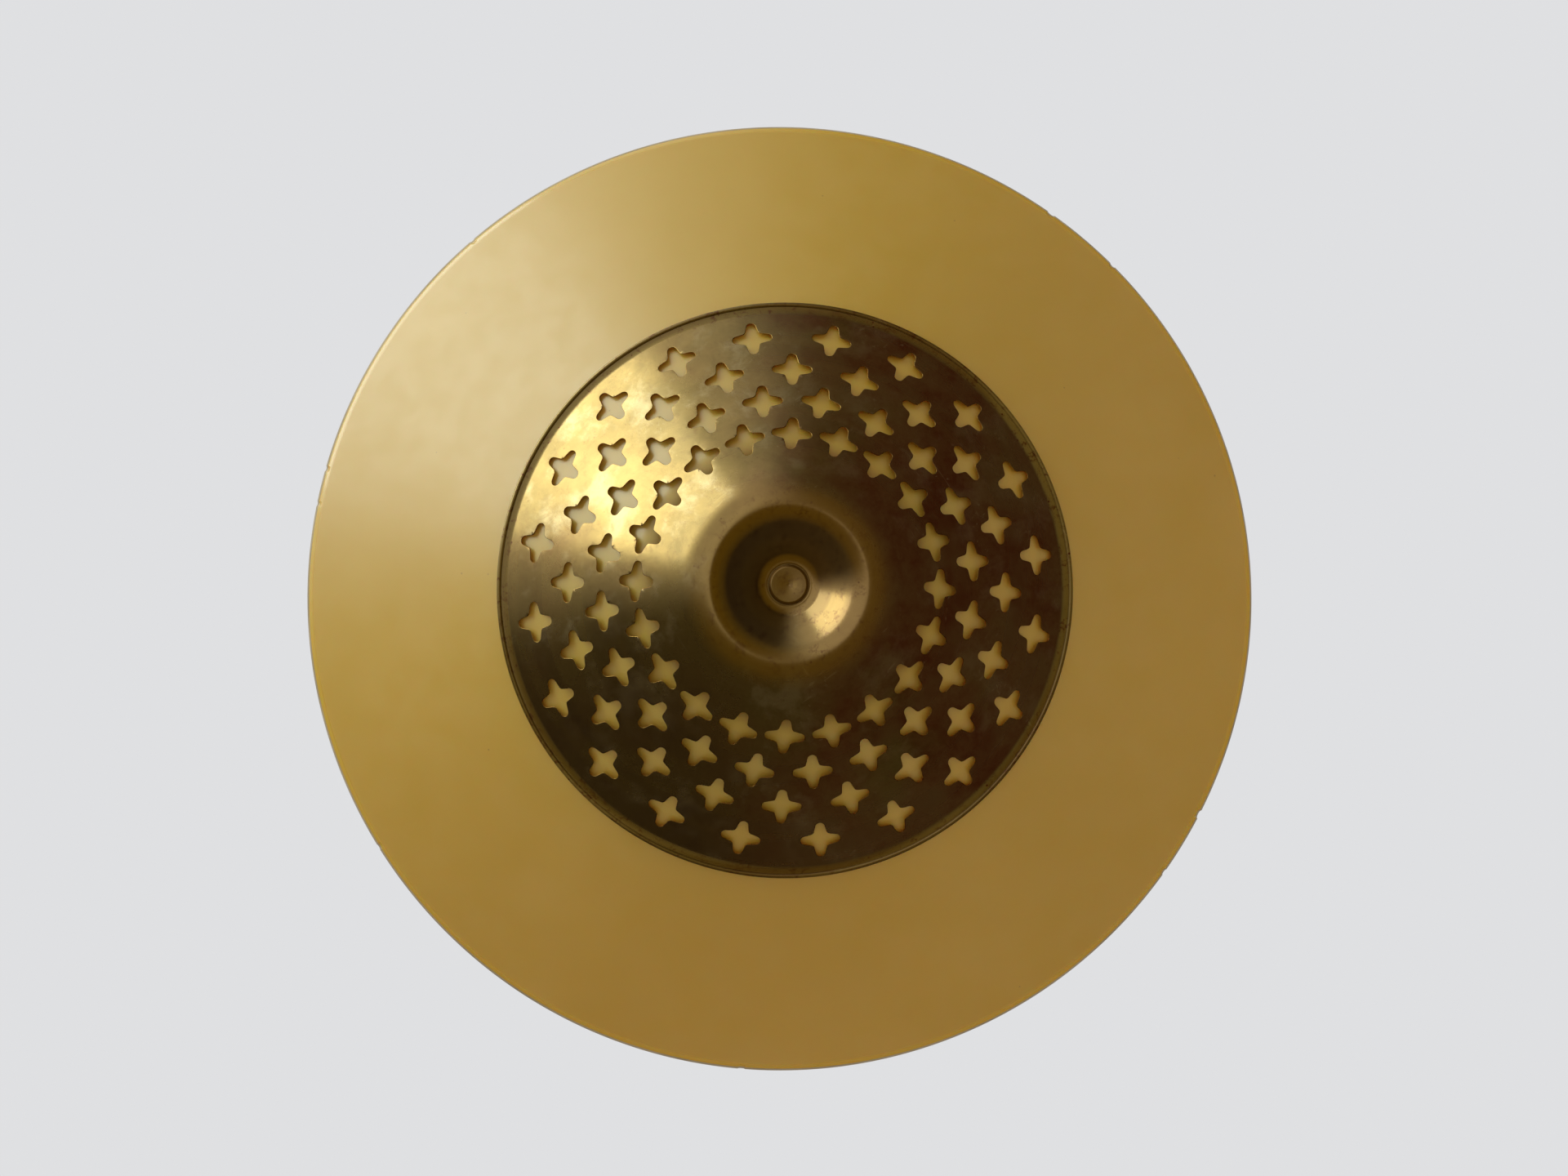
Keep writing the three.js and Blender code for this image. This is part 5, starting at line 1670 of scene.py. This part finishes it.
class LAMP_OT_block(bpy.types.Operator):
    """Makes the terminal block with its sleeves and screws, and the earth tag"""

    bl_idname = "lamp.block"
    bl_label = "Terminal block and earth"

    def execute(self, context):
        low, high = lowest("terminal_block"), highest("terminal_block")
        middle = (low + high) / 2
        half = BLOCK_WIDTH / 2

        def standing(x, y, depth):
            return Vector((x, BLOCK_FRONT - depth, middle + y))
        bm = bmesh.new()
        pierced(
            bm, standing, BLOCK_WIDTH, 0.7 * MM,
            outline=rectangle(BLOCK_LENGTH / 2, (high - low) / 2, 1.6 * MM, 5),
            holes=[circle((column * BLOCK_PITCH, 0), SLEEVE_RADIUS + GAP, 32) for column in (-1, 0, 1)],
        )
        piece("porcelain_block", bm, "porcelain", "terminal_block")
        sleeve = rounded(band(SLEEVE_RADIUS - SLEEVE_WALL, SLEEVE_RADIUS, -half, half), 0.2 * MM, closed=True)
        for number, column in enumerate(LEAD_COLUMNS, 1):
            along = Matrix.Translation((column * BLOCK_PITCH, -BLOCK_DISTANCE, middle))
            turned_piece(
                f"brass_sleeve_{number}", sleeve, "brass", f"terminal_sleeve_{number}", sides=40,
                place=along @ Matrix.Rotation(math.pi / 2, 4, "X"), closed=True,
            )
            for row, side in enumerate((-1, 1), 1):
                spot = Matrix.Translation((column * BLOCK_PITCH, -BLOCK_DISTANCE + side * 4.5 * MM, 0))
                screw(f"terminal_screw_{number}_{row}", "brass", None, high - 0.6 * MM, TERMINAL_SCREW,
                      high - 2.2 * MM, spot, 40 * number + 70 * row)
        end = PAN_FLOOR - 2 * MM
        screw("block_screw_slotted", "steel", "block_screw", high + GAP, SMALL_SCREW, end,
              Matrix.Translation((BLOCK_PITCH / 2, -BLOCK_DISTANCE, 0)), 35)
        tag_top = highest("earth_tag")
        spot = polar(EARTH_DISTANCE, EARTH_ANGLE)
        screw("earth_screw_slotted", "brass", "earth_screw", tag_top + GAP, SMALL_SCREW, end,
              Matrix.Translation((spot.x, spot.y, 0)), 110)
        shift = (EARTH_TAG_LENGTH - EARTH_TAG_WIDTH) / 2
        tag = stadium(polar(EARTH_DISTANCE + shift, EARTH_ANGLE), shift, EARTH_TAG_WIDTH / 2, EARTH_ANGLE)
        bm = bmesh.new()
        pierced(bm, level(tag_top), EARTH_TAG_THICKNESS, 0.15 * MM, outline=tag,
                holes=[circle(spot, SMALL_SCREW_RADIUS + HOLE_PLAY, 24)])
        piece("earth_tag_copper", bm, "copper", "earth_tag")
        return {"FINISHED"}


class LAMP_OT_leads(bpy.types.Operator):
    """Runs the sleeved twin leads through their rubber grommets"""

    bl_idname = "lamp.leads"
    bl_label = "Leads and grommets"

    def execute(self, context):
        sleeve_z = (lowest("terminal_block") + highest("terminal_block")) / 2
        bore = LEAD_RADIUS + LEAD_PLAY
        top, bottom = PAN_FLOOR_TOP + GAP + GROMMET_FLANGE, PAN_FLOOR - GAP - GROMMET_FLANGE
        grommet = rounded([
            (bore, bottom), (GROMMET_RADIUS, bottom), (GROMMET_RADIUS, PAN_FLOOR - GAP),
            (GROMMET_NECK, PAN_FLOOR - GAP), (GROMMET_NECK, PAN_FLOOR_TOP + GAP),
            (GROMMET_RADIUS, PAN_FLOOR_TOP + GAP), (GROMMET_RADIUS, top), (bore, top),
        ], 0.5 * MM, 4, closed=True)
        for index, (_, own, _) in enumerate(holder_places()):
            number = index + 1
            x, y = polar(GROMMET_CIRCLE, around(index))
            column = LEAD_COLUMNS[index] * BLOCK_PITCH
            points = [
                *[(column, BLOCK_FRONT + along, sleeve_z) for along in (-LEAD_LAP, 0, LEAD_RADIUS)],
                *[(side, along, sleeve_z) for side, along in LEAD_BYPASSES[index]],
                *[(x, y, z) for z in (top + LEAD_RADIUS, top, bottom, bottom - LEAD_RADIUS)],
            ]
            points = [Vector(point) for point in points]
            for height in (2 * LEAD_RADIUS, 0, -LEAD_LAP):
                points.append(own @ Vector((LEAD_ENTRY, 0, HOLDER_RADIUS + height)))
            path = catmull_rom(points, 14)
            bm = bmesh.new()
            for phase in (0, math.pi):
                strand(bm, path, 0.5 * LEAD_RADIUS, 0.5 * LEAD_RADIUS, phase, len(path) / 22)
            piece(f"twin_lead_{number}", bm, "lead_sleeving", f"holder_lead_{number}")
            turned_piece(
                f"rubber_grommet_{number}", grommet, "rubber", f"pan_grommet_{number}", sides=48,
                place=Matrix.Translation((x, y, 0)), closed=True,
            )
        return {"FINISHED"}


# Stage


def background_rays(graph):
    """1 for the rays that show a background: to the camera, and in what shines or lets light through."""
    rays = graph.add("LightPath").outputs
    return graph.most(rays["Is Camera Ray"], rays["Is Glossy Ray"], rays["Is Transmission Ray"])


def studio_world(scene):
    """Soft light from all round, with a pale backdrop for the camera, glass and metal."""
    world = bpy.data.worlds.new("studio")
    scene.world = world
    world.use_nodes = True
    world.node_tree.nodes.clear()
    graph = Graph(world.node_tree)
    backdrop = graph.add("Background", {"Color": BACKDROP, "Strength": 1.0}).outputs[0]
    fill = graph.add("Background", {"Color": FILL_COLOUR, "Strength": FILL_STRENGTH}).outputs[0]
    choice = graph.add("MixShader", {0: background_rays(graph), 1: fill, 2: backdrop}).outputs[0]
    graph.add("OutputWorld", {"Surface": choice})


def pale_floor(colours):
    """A pale matt floor that runs out into the backdrop's colour far from the lamp."""
    made, graph = material("pale_floor", Roughness=0.9)
    darker = tuple(0.97 * value for value in colours.floor[:3]) + (1,)
    graph.drive(base_color=graph.mix(graph.noise(1.5, 3.0), colours.floor, darker))
    far = graph.mask("ring", inner=FLOOR_SIZE / 4, outer=FLOOR_SIZE, softness=FLOOR_SIZE / 6)
    share = graph.most(far, graph.times(background_rays(graph), FLOOR_LIFT))
    output = graph.shader.outputs[0].links[0].to_node
    backdrop = graph.add("Emission", {"Color": BACKDROP}).outputs[0]
    mixed = graph.add("MixShader", {0: share, 1: graph.shader.outputs[0], 2: backdrop}).outputs[0]
    graph.feed(output.inputs["Surface"], mixed)
    return made


def dark_card():
    """A curved dark card round and below the lamp that fades out at its ends. Only what shines
    shows it, as polished brass shows the dark side of a room."""
    card, graph = material("dark_card", **{"Roughness": 0.9, "Specular IOR Level": 0.0})
    x, y, z = graph.split(graph.place)
    bearing = graph.math("ABSOLUTE", graph.math("ARCTAN2", y, x))
    graph.drive(
        base_color=graph.mix(graph.fit(z, CARD_SHADE_END, CARD_SECTION[-1][1]), CARD_BROWN, CARD_OLIVE),
        alpha=graph.fit(bearing, math.radians(CARD_REACH), math.radians(CARD_SOLID)),
    )
    bm = bmesh.new()
    rows = []
    for step in range(CARD_STEPS + 1):
        x, y = polar(1, CARD_REACH * (2 * step / CARD_STEPS - 1))
        rows.append([bm.verts.new((x * radius, y * radius, z)) for radius, z in CARD_SECTION])
    for first, second in zip(rows, rows[1:]):
        for row in range(len(CARD_SECTION) - 1):
            bm.faces.new((first[row], second[row], second[row + 1], first[row + 1]))
    made = finish_mesh("dark_reflection_card", bm, [card])
    made.rotation_euler.z = math.radians(CARD_MIDDLE)
    made.visible_camera = made.visible_diffuse = made.visible_shadow = False


def soft_light(scene, name, place, aim, width, power, colour=(1, 1, 1)):
    """A square softbox that the camera doesn't see."""
    lamp = bpy.data.lights.new(name, "AREA")
    lamp.color = colour
    lamp.size = width
    lamp.energy = power
    made = bpy.data.objects.new(name, lamp)
    made.location = place
    made.rotation_mode = "QUATERNION"
    made.rotation_quaternion = (aim - place).to_track_quat("-Z", "Y")
    made.visible_camera = False
    scene.collection.objects.link(made)


def camera_below(scene):
    """The camera under the lamp, with the ceiling's -Y side at the top of its view."""
    camera = bpy.data.objects.new("camera", bpy.data.cameras.new("camera"))
    camera.data.lens = CAMERA_LENS
    camera.data.clip_start = 0.01
    camera.data.clip_end = 100
    ahead = (CAMERA_AIM - CAMERA_PLACE).normalized()
    right = ahead.cross(Vector((0, -1, 0))).normalized()
    turn = Matrix((right, right.cross(ahead), -ahead)).transposed()
    camera.matrix_world = Matrix.Translation(CAMERA_PLACE) @ turn.to_4x4()
    scene.collection.objects.link(camera)
    scene.camera = camera


class LAMP_OT_stage(bpy.types.Operator):
    """Sets the pale floor and backdrop, the dark card, the soft lights and the camera below the lamp"""

    bl_idname = "lamp.stage"
    bl_label = "Stage"

    def execute(self, context):
        scene = context.scene
        studio_world(scene)
        bm = bmesh.new()
        bmesh.ops.create_grid(bm, x_segments=8, y_segments=8, size=FLOOR_SIZE / 2)
        place = Matrix.Translation((0, 0, FLOOR_Z))
        finish_mesh("studio_floor", bm, [pale_floor(scene.lamp_colours)], place)
        dark_card()
        middle = Vector((0, 0, SHADE_BOTTOM))
        key_place = middle + KEY_DIRECTION.normalized() * KEY_DISTANCE
        soft_light(scene, "key_softbox", key_place, middle, KEY_WIDTH, KEY_POWER, KEY_COLOUR)
        soft_light(scene, "top_softbox", TOP_PLACE, Vector((0, 0, 0)), TOP_WIDTH, TOP_POWER)
        camera_below(scene)
        scene.view_settings.view_transform = "Standard"
        return {"FINISHED"}


PIECES = (
    LAMP_OT_shade, LAMP_OT_cap, LAMP_OT_bush, LAMP_OT_felts, LAMP_OT_column, LAMP_OT_strap, LAMP_OT_pan,
    LAMP_OT_bracket, LAMP_OT_holders, LAMP_OT_bulbs, LAMP_OT_block, LAMP_OT_leads, LAMP_OT_stage,
)


class LAMP_PT_panel(bpy.types.Panel):
    """Lists the lamp's sizes, colours and pieces"""

    bl_idname = "LAMP_PT_panel"
    bl_label = "Ceiling lamp"
    bl_space_type = "VIEW_3D"
    bl_region_type = "UI"
    bl_category = "Lamp"

    def draw(self, context):
        for group in (context.scene.lamp_sizes, context.scene.lamp_colours):
            column = self.layout.column()
            for name in type(group).__annotations__:
                column.prop(group, name)
        for operator in PIECES:
            self.layout.operator(operator.bl_idname)


CLASSES = (LampSizes, LampColours, *PIECES, LAMP_PT_panel)


def register():
    for cls in CLASSES:
        bpy.utils.register_class(cls)
    bpy.types.Scene.lamp_sizes = bpy.props.PointerProperty(type=LampSizes)
    bpy.types.Scene.lamp_colours = bpy.props.PointerProperty(type=LampColours)


def unregister():
    del bpy.types.Scene.lamp_colours
    del bpy.types.Scene.lamp_sizes
    for cls in reversed(CLASSES):
        bpy.utils.unregister_class(cls)


def main():
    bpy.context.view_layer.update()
    register()
    bpy.ops.lamp.shade()
    bpy.ops.lamp.cap()
    bpy.ops.lamp.bush()
    bpy.ops.lamp.felts()
    bpy.ops.lamp.column()
    bpy.ops.lamp.strap()
    bpy.ops.lamp.pan()
    bpy.ops.lamp.bracket()
    bpy.ops.lamp.holders()
    bpy.ops.lamp.bulbs()
    bpy.ops.lamp.block()
    bpy.ops.lamp.leads()
    bpy.ops.lamp.stage()


if __name__ == "__main__":
    main()
